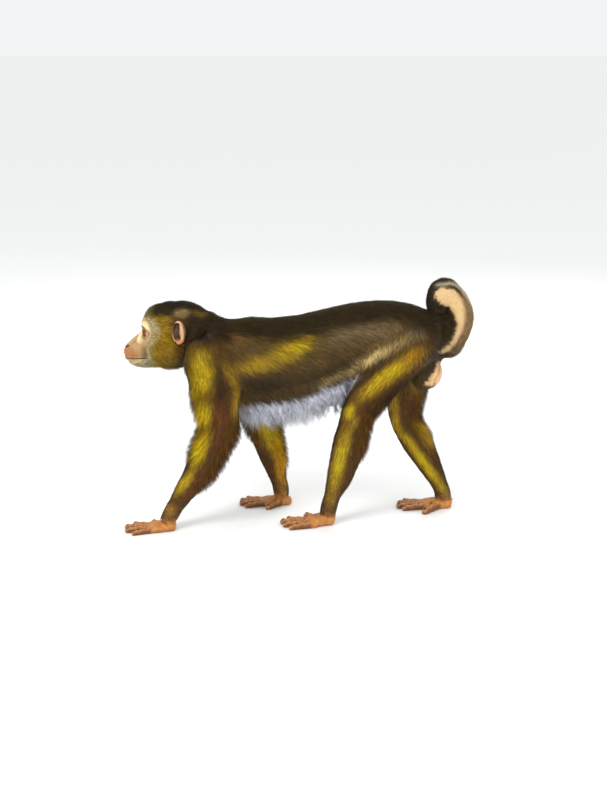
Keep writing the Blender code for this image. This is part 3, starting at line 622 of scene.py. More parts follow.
limbHair = {"length": 0.0120, "width": 0.00034, "lift": 11}
coat = {
    "head": {"line": [(-0.250, 0, 0.296), (-0.215, 0, 0.300), (-0.180, 0, 0.300), (-0.155, 0, 0.292)],
             "reach": 0.052, "length": 0.0095, "width": 0.00028, "lift": 12, "dense": 1.25},
    "trunk": {"line": [(-0.150, 0, 0.283), (-0.100, 0, 0.265), (0.0, 0, 0.262), (0.10, 0, 0.290),
                       (0.205, 0, 0.288)],
              "reach": 0.062, "length": 0.0165, "width": 0.00036, "lift": 10, "dense": 0.66},
    "arm_left": {"line": [(-0.146, -0.040, 0.290), (-0.131, -0.062, 0.231), (-0.124, -0.071, 0.168),
                          (-0.151, -0.0745, 0.1085), (-0.193, -0.077, 0.043), (-0.209, -0.0785, 0.010)],
                 "reach": 0.030, "dense": 0.74, **limbHair},
    "arm_right": {"line": [(-0.142, 0.040, 0.290), (-0.106, 0.058, 0.228), (-0.070, 0.066, 0.162),
                           (-0.053, 0.066, 0.103), (-0.035, 0.066, 0.040), (-0.031, 0.066, 0.010)],
                  "reach": 0.030, "dense": 0.74, **limbHair},
    "leg_left": {"line": [(0.172, -0.036, 0.305), (0.136, -0.053, 0.249), (0.092, -0.064, 0.193),
                          (0.0775, -0.061, 0.140), (0.0595, -0.053, 0.070), (0.044, -0.050, 0.012)],
                 "reach": 0.032, "dense": 0.70, **limbHair},
    "leg_right": {"line": [(0.176, 0.036, 0.303), (0.176, 0.051, 0.230), (0.169, 0.059, 0.160),
                           (0.192, 0.057, 0.108), (0.218, 0.049, 0.062), (0.236, 0.042, 0.012)],
                  "reach": 0.032, "dense": 0.70, **limbHair},
    "tail": {"line": [(0.224, 0.000, 0.285), (0.2440, 0.001, 0.299), (0.2535, 0.001, 0.325),
                      (0.2480, -0.001, 0.3470), (0.2375, -0.003, 0.3590), (0.2260, -0.005, 0.3665),
                      (0.2165, -0.008, 0.3590), (0.2120, -0.010, 0.3465), (0.2150, -0.010, 0.3320)],
             "reach": 0.022, "length": 0.0070, "width": 0.00028, "lift": 15, "dense": 1.5},
}
regions = list(coat)
# Back and belly of the trunk, and the upper edge of the long pale hair, as heights along x
trunkAt = [-0.164, -0.115, -0.050, 0.000, 0.040, 0.080, 0.120, 0.160, 0.190, 0.221]
backAt = [0.312, 0.326, 0.326, 0.330, 0.339, 0.348, 0.353, 0.350, 0.337, 0.306]
bellyAt = [0.240, 0.194, 0.185, 0.193, 0.208, 0.226, 0.238, 0.242, 0.238, 0.252]
fringeAt = [-0.112, -0.089, -0.050, 0.000, 0.032, 0.080, 0.112, 0.125]
fringeTop = [0.196, 0.201, 0.203, 0.212, 0.226, 0.243, 0.256, 0.262]
# Bare side of the tail: its front and rear edges as x along the height seen from the side
tailHeights = [
    0.2590, 0.2645, 0.2731, 0.2824, 0.2944, 0.3090, 0.3209, 0.3315, 0.3395, 0.3474, 0.3554, 0.3607, 0.3653,
]
tailFront = [
    0.2180, 0.2090, 0.2200, 0.2295, 0.2370, 0.2405, 0.2365, 0.2280, 0.2165, 0.2095, 0.2090, 0.2145, 0.2263,
]
tailRear = [
    0.2240, 0.2369, 0.2455, 0.2525, 0.2590, 0.2628, 0.2636, 0.2625, 0.2600, 0.2568, 0.2518, 0.2440, 0.2263,
]
# Middle of the tail's curl, and of the dark hair over its root, as x and z
tailMiddle, tuftMiddle = (0.232, 0.325), (0.214, 0.314)
# Small forms under the tuft between the rump and the tip of the tail
coreOfTuft = [
    ((0.2235, -0.003, 0.3235), (0.0110, 0.0080, 0.0110)),
    ((0.2170, -0.005, 0.3290), (0.0080, 0.0080, 0.0090)),
]
# Front edge of the bare swelling, as x along the height seen from the side
swellingHeights = [0.2050, 0.2161, 0.2241, 0.2360, 0.2506, 0.2620]
swellingFront = [0.186, 0.1958, 0.2024, 0.2104, 0.2144, 0.212]
# Edge of the bare face, as x along the height
faceHeights = [
    0.2480, 0.2540, 0.2580, 0.2640, 0.2750, 0.2860, 0.2950, 0.3050, 0.3150, 0.3220, 0.3275, 0.3320,
]
faceEdges = [
    -0.2640, -0.2610, -0.2500, -0.2425, -0.2420, -0.2405, -0.2360, -0.2315, -0.2318, -0.2350, -0.2420,
    -0.2560,
]


def sideHeight(points):  # height seen from the side and a little from above, as the markings are laid out
    return 0.974 * points[:, 2] - 0.225 * np.abs(points[:, 1])


def riseOf(points):  # height on the trunk, 0 at the belly and 1 at the back
    x, _, z = points.T
    low = np.interp(x, trunkAt, bellyAt)
    return (z - low) / (np.interp(x, trunkAt, backAt) - low)


def regionShares(points):  # how much each point belongs to each region, and the way along its line
    shares, ways = [], []
    for name in regions:
        line = np.array(coat[name]["line"], float)
        best = np.full(len(points), 1e9)
        sumWay, sumShare = np.zeros_like(points), np.zeros(len(points))
        for one, two in zip(line, line[1:]):
            run, _, aside = onRun(points, one, two)
            away = np.linalg.norm(aside, axis=1)
            best = np.minimum(best, away)
            pull = 1 / np.maximum(away, 0.004) ** 6
            sumWay += unit(run) * pull[:, None]
            sumShare += pull
        ways.append(unit(sumWay / sumShare[:, None]))
        shares.append(1 / np.maximum(best / coat[name]["reach"], 0.08) ** 7)
    shares = np.array(shares)
    shares[regions.index("trunk")] *= 1 - 0.97 * ramp(points[:, 0], 0.218, 0.232)
    return shares / shares.sum(0), np.array(ways)


def faceOf(points):  # 1 on the bare face, 0 in the coat
    edge = np.interp(points[:, 2], faceHeights, faceEdges)
    edge += 0.0010 * noise(points, 0.010, 11)
    return ramp(edge - points[:, 0], -0.0015, 0.0020) * (points[:, 2] > 0.2)


def earOf(points):  # 1 on the ears
    near = np.zeros(len(points))
    for sign in (-1, 1):
        faces = unit(np.array(onSide(ear["faces"], sign)))
        away = points - np.array(onSide(ear["at"], sign))
        out = away @ faces
        flat = np.linalg.norm(away - out[:, None] * faces, axis=1)
        inside = (flat < 0.0205) & (out > -0.0095) & (sign * points[:, 1] > 0.0455)
        near = np.maximum(near, inside.astype(float))
    return near


def fringeOf(points):  # 1 in the long pale hair under the belly
    x, y, z = points.T
    top = np.interp(x, fringeAt, fringeTop) + 0.0020 * noise(points, 0.012, 12)
    inside = ramp(top - z, -0.002, 0.004) * ramp(x, -0.115, -0.102) * fall(x, 0.118, 0.128)
    return inside * fall(np.abs(y), 0.062, 0.070)


def tailBareOf(points, shares, normals):  # 1 on the bare side of the tail, which faces left
    tail = shares[regions.index("tail")]
    seen = sideHeight(points) + 0.0012 * noise(points, 0.009, 15)
    front = np.interp(seen, tailHeights, tailFront) + 0.0022 * noise(points, 0.006, 14)
    rear = np.interp(seen, tailHeights, tailRear)
    inside = ramp(points[:, 0] - front, -0.001, 0.003) * ramp(rear - points[:, 0], -0.0005, 0.0025)
    inside *= (seen > tailHeights[0]) & (seen < tailHeights[-1])
    return ramp(tail + 0.8 * (points[:, 0] > 0.208), 0.3, 0.6) * inside * ramp(-normals[:, 1], -0.1, 0.15)


def swellingOf(points):  # 1 on the bare swelling under the tail
    x, _, z = swelling["at"]
    reach = np.array(swelling["radii"]) + np.array([0.0015, 0.0130, 0.0015])
    away = (points - np.array([x + 0.002, 0, z])) / reach
    front = np.interp(sideHeight(points), swellingHeights, swellingFront)
    front += 0.0022 * noise(points, 0.006, 17)
    return fall(np.linalg.norm(away, axis=1), 1.00, 1.08) * ramp(points[:, 0] - front, -0.001, 0.003)


def pawOf(points):  # 1 on hands and feet, fading into the coat at wrist and ankle
    height = points[:, 2] + 0.0030 * noise(points, 0.006, 16)
    return fall(height, 0.0140, 0.0250)


def makeBody():  # trunk, neck, limbs and tail, drawn in by the depth of the coat
    others = ("eye", "ear", "hand", "foot", "head", "perineal")
    bm = bmesh.new()
    for name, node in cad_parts.items():
        if not name.startswith(others):
            bm.from_mesh(node.data)
    bmesh.ops.remove_doubles(bm, verts=bm.verts, dist=0.00001)
    bm.transform(Matrix.Translation(-bodyShift))
    forms = [fromBmesh("body", bm)] + [ball(at, radii) for at, radii in coreOfTuft]
    made = oneSkin("body", forms, 0.0026, 4)
    points, edges = pointsOf(made), edgesOf(made)
    shares, _ = regionShares(points)
    trunk = shares[regions.index("trunk")]
    below = np.interp(points[:, 0], fringeAt, fringeTop) + 0.004 - points[:, 2]
    low = ramp(below, 0, 0.010) * ramp(trunk, 0.3, 0.6)
    low *= ramp(points[:, 0], -0.130, -0.110)
    points = relax(points, edges, 60, 0.5 * low)
    setPoints(made, points)
    normals = normalsOf(made)
    depth = np.zeros(len(points))
    for k, name in enumerate(regions):
        region = coat[name]
        depth += shares[k] * region["length"] * math.sin(math.radians(region["lift"])) * 0.85
    depth *= 0.5 + 0.5 * ramp(points[:, 2], 0.014, 0.050)
    depth = np.where(trunk > 0.5, np.maximum(depth, 0.0035 * low), depth)
    points -= normals * depth[:, None]
    setPoints(made, relax(points, edges, 3, 0.4))
    return thin(made, 52000)


def makeSkin():
    skin = makeBody()
    skin.name = "skin"
    print("body", len(skin.data.polygons))
    pieces = [makeSwelling(), makeHead()] + [makePaw(name) for name in paws]
    for piece in pieces:
        combine(skin, piece, "UNION")
    cut = skin.modifiers.new("split", "TRIANGULATE")
    cut.keep_custom_normals = False
    settle(skin)
    print("skin", len(skin.data.polygons))
    return skin


# Markings, with painted light and shade, shared by skin and coat

tones = {
    "crown": tone(48, 36, 9), "brow": tone(128, 118, 70), "temple": tone(202, 188, 138),
    "olive": tone(186, 146, 34), "cheekBrown": tone(116, 78, 24), "earDark": tone(58, 40, 14),
    "throat": tone(146, 122, 50), "chin": tone(190, 182, 138), "back": tone(60, 47, 15),
    "flank": tone(112, 88, 44), "low": tone(88, 68, 32), "ash": tone(158, 134, 98),
    "straw": tone(238, 204, 134), "gold": tone(255, 210, 26), "amber": tone(250, 176, 34),
    "oldGold": tone(208, 164, 40), "rust": tone(138, 74, 22), "tawny": tone(200, 144, 72),
    "brown": tone(106, 72, 15), "dark": tone(50, 36, 9), "fringe": tone(236, 240, 255),
    "fringeTip": tone(66, 68, 52), "tailDark": tone(60, 46, 22), "tailRim": tone(164, 134, 92),
    "tailBand": tone(226, 210, 176),
}
# Upper edge of the thigh, as height along x
thighAt, thighTop = [0.060, 0.096, 0.140, 0.196, 0.220], [0.190, 0.211, 0.2528, 0.2863, 0.290]
# Patches as they lie seen from the side: tone, middle x and height, half sizes, turn in degrees, strength
patches = {
    "head": [
        ("straw", (-0.190, 0.3225), (0.011, 0.0065), 10, 0.75),
        ("oldGold", (-0.165, 0.324), (0.012, 0.005), -12, 0.45),
        ("olive", (-0.218, 0.272), (0.012, 0.016), 0, 0.8),
    ],
    "trunk": [
        ("dark", (-0.070, 0.212), (0.050, 0.018), 8, 0.60),
        ("dark", (0.004, 0.300), (0.012, 0.030), 0, 0.4),
        ("tawny", (-0.115, 0.288), (0.030, 0.010), 5, 0.90),
        ("gold", (-0.020, 0.271), (0.034, 0.014), 25, 0.85),
        ("oldGold", (-0.076, 0.247), (0.034, 0.011), 12, 1.0),
        ("ash", (0.055, 0.292), (0.030, 0.022), 10, 0.55), ("ash", (0.115, 0.302), (0.042, 0.015), 5, 0.60),
        ("straw", (0.119, 0.263), (0.058, 0.009), 26, 0.85),
        ("straw", (0.052, 0.227), (0.034, 0.006), 20, 0.45),
        ("ash", (0.190, 0.298), (0.020, 0.009), -8, 0.75),
    ],
    "arm_left": [
        ("dark", (-0.126, 0.218), (0.042, 0.011), 100, 0.8),
        ("rust", (-0.124, 0.160), (0.034, 0.010), 85, 0.70),
        ("gold", (-0.157, 0.237), (0.036, 0.020), 95, 1.0),
        ("gold", (-0.147, 0.171), (0.020, 0.010), 90, 0.9),
        ("oldGold", (-0.107, 0.228), (0.026, 0.0075), -60, 0.9),
        ("oldGold", (-0.097, 0.190), (0.026, 0.0085), 85, 0.9),
        ("gold", (-0.150, 0.116), (0.027, 0.0090), 70, 1.0),
        ("gold", (-0.176, 0.063), (0.023, 0.0075), 56, 0.95),
        ("rust", (-0.160, 0.062), (0.030, 0.006), 56, 0.5),
        ("amber", (-0.203, 0.016), (0.013, 0.010), 60, 0.5),
        ("dark", (-0.148, 0.292), (0.034, 0.018), 15, 0.95),
    ],
    "arm_right": [
        ("gold", (-0.056, 0.122), (0.042, 0.012), -69, 1.0),
        ("amber", (-0.034, 0.056), (0.046, 0.0090), -80, 1.0),
        ("oldGold", (-0.088, 0.190), (0.030, 0.012), -70, 0.8),
    ],
    "leg_left": [
        ("dark", (0.152, 0.202), (0.050, 0.015), 38, 0.75),
        ("gold", (0.140, 0.230), (0.052, 0.0115), 38, 1.0),
        ("amber", (0.178, 0.260), (0.024, 0.010), 45, 0.7),
        ("gold", (0.0795, 0.174), (0.0105, 0.0080), 60, 1.0),
        ("oldGold", (0.0865, 0.157), (0.011, 0.006), 60, 0.8),
        ("gold", (0.0640, 0.098), (0.050, 0.0100), 77, 1.0),
        ("oldGold", (0.0520, 0.038), (0.022, 0.008), 75, 0.6),
    ],
    "leg_right": [
        ("oldGold", (0.1535, 0.161), (0.030, 0.008), 92, 1.0),
        ("gold", (0.194, 0.081), (0.072, 0.0080), -53, 1.0),
        ("oldGold", (0.2030, 0.115), (0.026, 0.009), -52, 0.9),
        ("oldGold", (0.190, 0.220), (0.030, 0.014), 80, 0.6),
    ],
    "tail": [],
}


def paintPatches(colour, name, x, seen, grain):
    for kind, (atX, atSeen), (long, wide), turn, strength in patches[name]:
        angle = math.radians(turn)
        along = ((x - atX) * math.cos(angle) + (seen - atSeen) * math.sin(angle)) / long
        aside = ((seen - atSeen) * math.cos(angle) - (x - atX) * math.sin(angle)) / wide
        on = strength * np.exp(-((along**2 + aside**2) ** 1.4)) * (1 + 0.22 * grain)
        colour = mix(colour, tones[kind], np.clip(on, 0, 1))
    return colour


def hoodTone(points, grain):  # head and neck, from the face back
    x, _, z = points.T
    seen = sideHeight(points)
    behind = x - np.interp(z, faceHeights, faceEdges) + 0.0015 * noise(points, 0.008, 23)
    streak = noise(points * np.array([0.3, 1, 1]), 0.007, 28)
    hood = mix(tones["temple"], tones["olive"], ramp(behind, 0.003, 0.012))
    brown = ramp(x + 0.004 * noise(points, 0.02, 29), -0.210, -0.197)
    stripes = 0.7 * ramp(streak, 0.0, 0.8) * ramp(seen, 0.294, 0.304) * ramp(behind, 0.009, 0.016)
    hood = mix(hood, tones["cheekBrown"], np.maximum(brown, stripes))
    hood = mix(hood, tones["throat"], fall(seen, 0.250, 0.262) * ramp(x, -0.238, -0.226) * 0.7)
    hood = mix(hood, tones["chin"], fall(x, -0.242, -0.230) * fall(seen, 0.254, 0.262))
    dark = ramp(x + 0.3 * (z - 0.325), -0.243, -0.226) * 0.9 + 0.05 * ramp(streak, -1, 1)
    crown = mix(tones["brow"], tones["crown"], dark)
    hood = mix(hood, crown, ramp(seen + 0.0015 * noise(points, 0.010, 24), 0.312, 0.321))
    hood = mix(hood, tones["earDark"], ramp(x, -0.190, -0.174) * (1 - 0.5 * ramp(seen, 0.316, 0.324)))
    hood = mix(hood, tones["crown"], ramp(seen + 0.05 * (x + 0.19), 0.328, 0.334))
    return paintPatches(hood, "head", x, seen, grain)


def coatTone(points, normals, shares):
    x, y, z = points.T
    seen = sideHeight(points)
    grain = noise(points, 0.020, 22)
    rise = riseOf(points) + 0.03 * noise(points, 0.04, 21)
    fur = {}
    trunk = mix(tones["low"], tones["flank"], ramp(rise, 0.30, 0.55))
    trunk = paintPatches(trunk, "trunk", x, seen, grain)
    trunk = mix(trunk, tones["back"], ramp(rise, 0.74, 0.88))
    trunk = mix(trunk, tones["back"], ramp(x, 0.186, 0.204) * 0.9)
    fur["trunk"] = mix(trunk, tones["fringe"], fringeOf(points))
    fur["head"] = hoodTone(points, grain)
    # Limbs: brown, darkened along their front and rear edges, where they turn away from the side, as
    # painted shade; their patches, mostly the coat's own gold, are laid only where they face the side,
    # which paints light down their middle
    paintedSideLight = np.abs(normals[:, 1]) + 0.08 * noise(points, 0.02, 25)
    limb = mix(tones["dark"], tones["brown"], ramp(paintedSideLight, 0.25, 0.75))
    limb = mix(limb, tones["rust"], 0.30 * ramp(noise(points, 0.04, 26), 0.1, 0.8))
    over = ramp(seen - np.interp(x, thighAt, thighTop), -0.002, 0.007)
    for name in ("arm_left", "arm_right", "leg_left", "leg_right"):
        fur[name] = mix(limb, paintPatches(limb, name, x, seen, grain), ramp(paintedSideLight, 0.15, 0.50))
        if name.startswith("leg"):
            fur[name] = mix(fur[name], trunk, over)
    # Tail: dark over its root and top, brown round its outer side
    angle = np.degrees(np.arctan2(z - tailMiddle[1], x - tailMiddle[0])) + 5 * noise(points, 0.01, 30)
    dark = np.maximum(ramp(angle, 48, 62), fall(angle, -135, -115))
    before = np.interp(seen, tailHeights, tailFront) + 0.003 - x
    dark = np.maximum(dark, ramp(before, 0, 0.004) * (z < 0.335))
    tail = mix(tones["tailRim"], tones["tailDark"], dark)
    arch = 0.3685 - 12 * np.maximum(x - 0.236, 0) ** 2 / 0.4
    band = hill(seen, arch, 0.0028) * ramp(x, 0.212, 0.220) * (y < 0.002)
    fur["tail"] = mix(tail, tones["tailBand"], band * 0.9)
    total = sum(fur[name] * shares[k][:, None] for k, name in enumerate(regions))
    return np.clip(total, 0.002, 1)


# Painted shade among these: the dark of the lids, of the ear's hollow, of the nostrils and the line between
# the lips, of the folds of hands and feet, and of the swelling's edge; muzzle and tail shade too
skinTones = {
    "face": tone(176, 142, 94), "muzzle": tone(164, 108, 58), "muzzleShade": tone(100, 62, 36),
    "ring": tone(238, 206, 150), "lid": tone(58, 40, 30), "upperLid": tone(150, 128, 82),
    "lip": tone(88, 56, 40), "chin": tone(172, 158, 112), "earRim": tone(206, 162, 118),
    "earHollowShade": tone(66, 38, 20), "earFold": tone(216, 168, 116), "lobe": tone(196, 128, 84),
    "earBack": tone(120, 82, 46), "palm": tone(194, 130, 64), "knuckle": tone(150, 88, 42),
    "fold": tone(76, 42, 20), "tail": tone(208, 174, 122), "tailShade": tone(150, 108, 72),
    "swelling": tone(216, 174, 122), "swellingShade": tone(134, 82, 66), "nostril": tone(48, 28, 22),
    "speck": tone(120, 66, 52),
}


def paintedDigitShade(points):  # 1 where shade is painted: in the folds between the digits, low on them near the ground, and across their joints
    folds = np.zeros(len(points))
    for paw in paws.values():
        for *ends, radius in paw["digits"]:
            along, aside, long = alongDigit(points, *ends)
            aside = np.abs(aside)
            on = ramp(along, -0.12, 0.05) * fall(along, 1.02, 1.10) * (aside < radius * 1.3)
            low = fall(points[:, 2], radius * 0.3, radius * 1.0)
            sides = np.maximum(ramp(aside, radius * 0.60, radius * 1.05), low)
            lines = sum(hill((along - joint) * long, 0, 0.0008) for joint in digit["creases"])
            folds = np.maximum(folds, on * np.clip(np.maximum(sides * 0.8, lines * 0.55), 0, 1))
    return folds * (points[:, 2] < 0.014)


def earTone(points):
    colour = skinTones["earRim"]
    tall, wide, _ = ear["half"]
    for _, sign in bothSides:
        at, turn, front = earFrame(sign)
        spin = np.array(turn)[:3, :3]
        up, across, out = ((points - np.array(at)) @ spin).T
        up, across = up / tall, across * front / wide
        rim = np.hypot(up, across)
        side = sign * points[:, 1] > 0
        paint = mix(skinTones["earBack"], skinTones["earRim"], ramp(out, 0.0002, 0.0022))
        # Painted shade: the hollow of the ear is painted dark
        inner = fall(rim - 0.07 * ramp(across, -0.2, 0.5), 0.78, 0.88) * (out > -0.0060)
        paint = mix(paint, skinTones["earHollowShade"], inner)
        fold = hill(across, -0.42, 0.20) * ramp(up, -0.55, -0.3) * fall(up, 0.50, 0.66)
        paint = mix(paint, skinTones["earFold"], fold * (out > -0.005))
        paint = mix(paint, skinTones["lobe"], fall(up, -0.85, -0.50) * 0.9)
        colour = np.where(side[:, None], paint, colour)
    return colour


def faceTone(points):
    x, y, z = points.T
    wide = np.abs(y)
    low = ramp(-x, 0.250, 0.264) * fall(z + 0.4 * (x + 0.27), 0.276, 0.288)
    paint = mix(skinTones["face"], skinTones["muzzle"], low)
    rear = ramp(x, -0.256, -0.244) * fall(z, 0.276, 0.292) * ramp(wide, 0.010, 0.018)
    paint = mix(paint, skinTones["muzzleShade"], rear * 0.75)
    crease = hill(z, 0.2842 + 1.05 * (x + 0.2660), 0.0012) * ramp(x, -0.267, -0.262)
    crease = crease * fall(x, -0.250, -0.243) * ramp(wide, 0.004, 0.007)
    paint = mix(paint, skinTones["muzzleShade"], crease * 0.55)
    for _, sign in bothSides:
        at, gaze = np.array(eyeAt(sign)), np.array(gazeOf(sign))
        away = points - at
        aside = unit(np.cross(np.array([0.0, 0.0, 1.0]), gaze) * -sign)
        across, up, out = away @ aside, away[:, 2], away @ gaze
        ring = np.hypot(across, up * 1.10)
        ring = np.where((out > -0.006) & (sign * y > -0.004), ring, 1)
        angle = np.degrees(np.arctan2(up, -across))
        behind = ramp(np.cos(np.radians(angle - 50)), -0.75, -0.1)
        pale = ramp(ring, 0.0115, 0.0135) * fall(ring, 0.0190, 0.0215) * behind
        paint = mix(paint, skinTones["ring"], pale)
        above = ramp(np.cos(np.radians(angle - 70)), -0.1, 0.5)
        paint = mix(paint, skinTones["upperLid"], fall(ring, 0.0102, 0.0112) * above * 0.8)
        # Painted shade: a dark ring round the eye, heavier above under the brow, and darker at the edge of
        # the opening
        dark = hill(ring, 0.0112, 0.0016) * (0.35 + 0.60 * above)
        paint = mix(paint, skinTones["lid"], np.clip(dark, 0, 0.95))
        paint = mix(paint, skinTones["lid"], fall(ring, 0.0068, 0.0084) * 0.8)
    line = lipLine(x)
    under = fall(z - line, -0.0010, 0.0004)
    paint = mix(paint, skinTones["chin"], under * 0.85)
    # Painted shade: the line between the lips is painted dark
    paint = mix(paint, skinTones["lip"], hill(z, line, 0.0010) * ramp(-x, 0.240, 0.244) * 0.85)
    corner = hill(z, line + 0.004, 0.004) * ramp(x, -0.252, -0.243)
    paint = mix(paint, skinTones["muzzleShade"], corner * 0.5)
    # Painted shade: the nostril slits and their edges are painted dark
    spin = [Matrix.Rotation(math.radians(nostril["turn"][k]), 3, "XYZ"[k]) for k in (2, 1)]
    away = (np.stack([x, wide, z], 1) - np.array(nostril["at"])) @ np.array(spin[0] @ spin[1])
    away /= np.array(nostril["half"]) + np.array([0.0002, 0.0020, 0.0002])
    paint = mix(paint, skinTones["nostril"], fall(np.linalg.norm(away, axis=1), 0.85, 1.20))
    specks = ramp(noise(points, 0.0022, 33), 0.80, 1.1) * ramp(-x, 0.253, 0.262)
    specks = specks * fall(z, 0.274, 0.280) * (z > line)
    return mix(paint, skinTones["speck"], specks * 0.45)


def skinTone(points, normals, shares):  # bare skin, and under the coat the coat's own colours darkened, as painted shade
    x, y, z = points.T
    # Under the coat: the coat's colours darkened, painted shade deep in the coat
    colour = coatTone(points, normals, shares) * 0.34 + tone(120, 88, 58) * 0.06
    worn = np.clip(0.25 + 0.30 * noise(points, 0.010, 31), 0, 0.7)
    paint = mix(skinTones["palm"], skinTones["knuckle"], worn)
    # Painted shade in the folds of the hands and feet
    paint = mix(paint, skinTones["fold"], paintedDigitShade(points))
    colour = mix(colour, paint, pawOf(points))
    seen = sideHeight(points)
    light = np.interp(seen, tailHeights, tailRear) - x + 0.0012 * noise(points, 0.005, 34)
    light = ramp(light, 0.0005, 0.0100)
    light *= 0.65 + 0.35 * ramp(x - np.interp(seen, tailHeights, tailFront), 0.0, 0.0080)
    light *= 0.88 + 0.12 * ramp(noise(points, 0.004, 35), -0.6, 0.6)
    paint = mix(skinTones["tailShade"], skinTones["tail"], light)
    colour = mix(colour, paint, tailBareOf(points, shares, normals))
    # Painted shade: the swelling darkens at its lower edge, along its middle groove and in a line near its
    # rear
    edge = np.maximum(fall(z, 0.216, 0.224), 0.7 * hill(y, 0, 0.0035))
    rear = np.interp(seen, [0.217, 0.230, 0.243], [0.2125, 0.2195, 0.2215])
    edge = np.maximum(edge, 0.8 * hill(x, rear, 0.0012))
    paint = mix(skinTones["swelling"], skinTones["swellingShade"], np.clip(edge, 0, 0.9))
    colour = mix(colour, paint, swellingOf(points))
    colour = mix(colour, earTone(points), earOf(points))
    colour = mix(colour, faceTone(points), faceOf(points))
    colour *= 1 + 0.06 * noise(points, 0.006, 32)[:, None]
    return np.clip(colour, 0.002, 1)


# Materials

def newMaterial(name, roughness, **sockets):
    material = bpy.data.materials.new(name)
    material.use_nodes = True
    shader = material.node_tree.nodes["Principled BSDF"]
    shader.inputs["Roughness"].default_value = roughness
    for socket, value in sockets.items():
        shader.inputs[socket.replace("_", " ")].default_value = value
    return material, material.node_tree, shader


def addNode(tree, kind, **values):
    node = tree.nodes.new(kind)
    for name, value in values.items():
        if hasattr(node, name):
            setattr(node, name, value)
        else:
            node.inputs[name.replace("_", " ")].default_value = value
    return node


def join(tree, *rows):  # each row: a node and its output, then a node and its input
    for source, output, target, socket in rows:
        tree.links.new(source.outputs[output], target.inputs[socket])


def setStops(node, stops):  # place and colour of each stop of a colour ramp
    elements = node.color_ramp.elements
    while len(elements) < len(stops):
        elements.new(0.5)
    for element, (place, colour) in zip(elements, stops):
        element.position = place
        element.color = (*colour, 1)


def coatMaterial():
    material, tree, shader = newMaterial(
        "macaqueCoat", 0.52, Specular_IOR_Level=0.22, Sheen_Weight=0.05, Sheen_Roughness=0.4
    )
    colour = addNode(tree, "ShaderNodeAttribute", attribute_name="coatColour")
    where = addNode(tree, "ShaderNodeTexCoord")
    grain = addNode(tree, "ShaderNodeTexNoise", Scale=420.0, Detail=2.0)
    rough = addNode(tree, "ShaderNodeMapRange", To_Min=0.46, To_Max=0.70)
    join(
        tree, (colour, "Color", shader, "Base Color"), (where, "Object", grain, "Vector"),
        (grain, "Fac", rough, "Value"), (rough, "Result", shader, "Roughness"),
    )
    return material


def skinMaterial():
    material, tree, shader = newMaterial(
        "macaqueSkin", 0.5, Subsurface_Weight=0.08, Subsurface_Scale=0.002, Specular_IOR_Level=0.42
    )
    shader.inputs["Subsurface Radius"].default_value = (1.0, 0.5, 0.3)
    colour = addNode(tree, "ShaderNodeAttribute", attribute_name="skinColour")
    where = addNode(tree, "ShaderNodeTexCoord")
    blotch = addNode(tree, "ShaderNodeTexNoise", Scale=260.0, Detail=4.0)
    shade = addNode(tree, "ShaderNodeMapRange", To_Min=0.86, To_Max=1.12)
    tint = addNode(tree, "ShaderNodeVectorMath", operation="MULTIPLY")
    pores = addNode(tree, "ShaderNodeTexVoronoi", Scale=1500.0)
    folds = addNode(tree, "ShaderNodeTexNoise", Scale=900.0, Detail=5.0, Roughness=0.62)
    relief = addNode(tree, "ShaderNodeMath", operation="ADD")
    bump = addNode(tree, "ShaderNodeBump", Strength=0.35, Distance=0.0004)
    rough = addNode(tree, "ShaderNodeMapRange", To_Min=0.38, To_Max=0.62)
    join(
        tree, (where, "Object", blotch, "Vector"), (blotch, "Fac", shade, "Value"),
        (colour, "Color", tint, 0), (shade, "Result", tint, 1), (tint, "Vector", shader, "Base Color"),
        (where, "Object", pores, "Vector"), (where, "Object", folds, "Vector"),
        (pores, "Distance", relief, 0), (folds, "Fac", relief, 1), (relief, "Value", bump, "Height"),
        (bump, "Normal", shader, "Normal"), (folds, "Fac", rough, "Value"),
        (rough, "Result", shader, "Roughness"),
    )
    return material


def eyeMaterial():
    material, tree, shader = newMaterial(
        "macaqueEye", 0.45, Specular_IOR_Level=0.05, Coat_Weight=0.55, Coat_Roughness=0.04, Coat_IOR=1.33
    )
    ring = addNode(tree, "ShaderNodeAttribute", attribute_name="gazeRing")
    turn = addNode(tree, "ShaderNodeAttribute", attribute_name="gazeTurn")
    colours = addNode(tree, "ShaderNodeValToRGB")
    # From the middle out: pupil, iris, its dark rim, white, and the darker back
    setStops(colours, [
        (0.00, tone(8, 6, 5)), (0.135, tone(8, 6, 5)), (0.155, tone(84, 40, 10)), (0.22, tone(142, 74, 16)),
        (0.31, tone(118, 58, 14)), (0.345, tone(44, 24, 14)), (0.375, tone(52, 34, 26)),
        (0.40, tone(232, 222, 200)), (0.45, tone(190, 168, 140)), (0.54, tone(84, 56, 42)),
    ])
    fibre = addNode(tree, "ShaderNodeTexNoise", Scale=9.0, Detail=3.0)
    stretch = addNode(tree, "ShaderNodeCombineXYZ")
    turned = addNode(tree, "ShaderNodeMath", operation="MULTIPLY")
    turned.inputs[1].default_value = 3.0
    shade = addNode(tree, "ShaderNodeMapRange", To_Min=0.70, To_Max=1.35)
    tint = addNode(tree, "ShaderNodeVectorMath", operation="MULTIPLY")
    join(
        tree, (turn, "Fac", turned, 0), (turned, "Value", stretch, "X"), (ring, "Fac", stretch, "Y"),
        (stretch, "Vector", fibre, "Vector"), (ring, "Fac", colours, "Fac"), (fibre, "Fac", shade, "Value"),
        (colours, "Color", tint, 0), (shade, "Result", tint, 1), (tint, "Vector", shader, "Base Color"),
    )
    return material


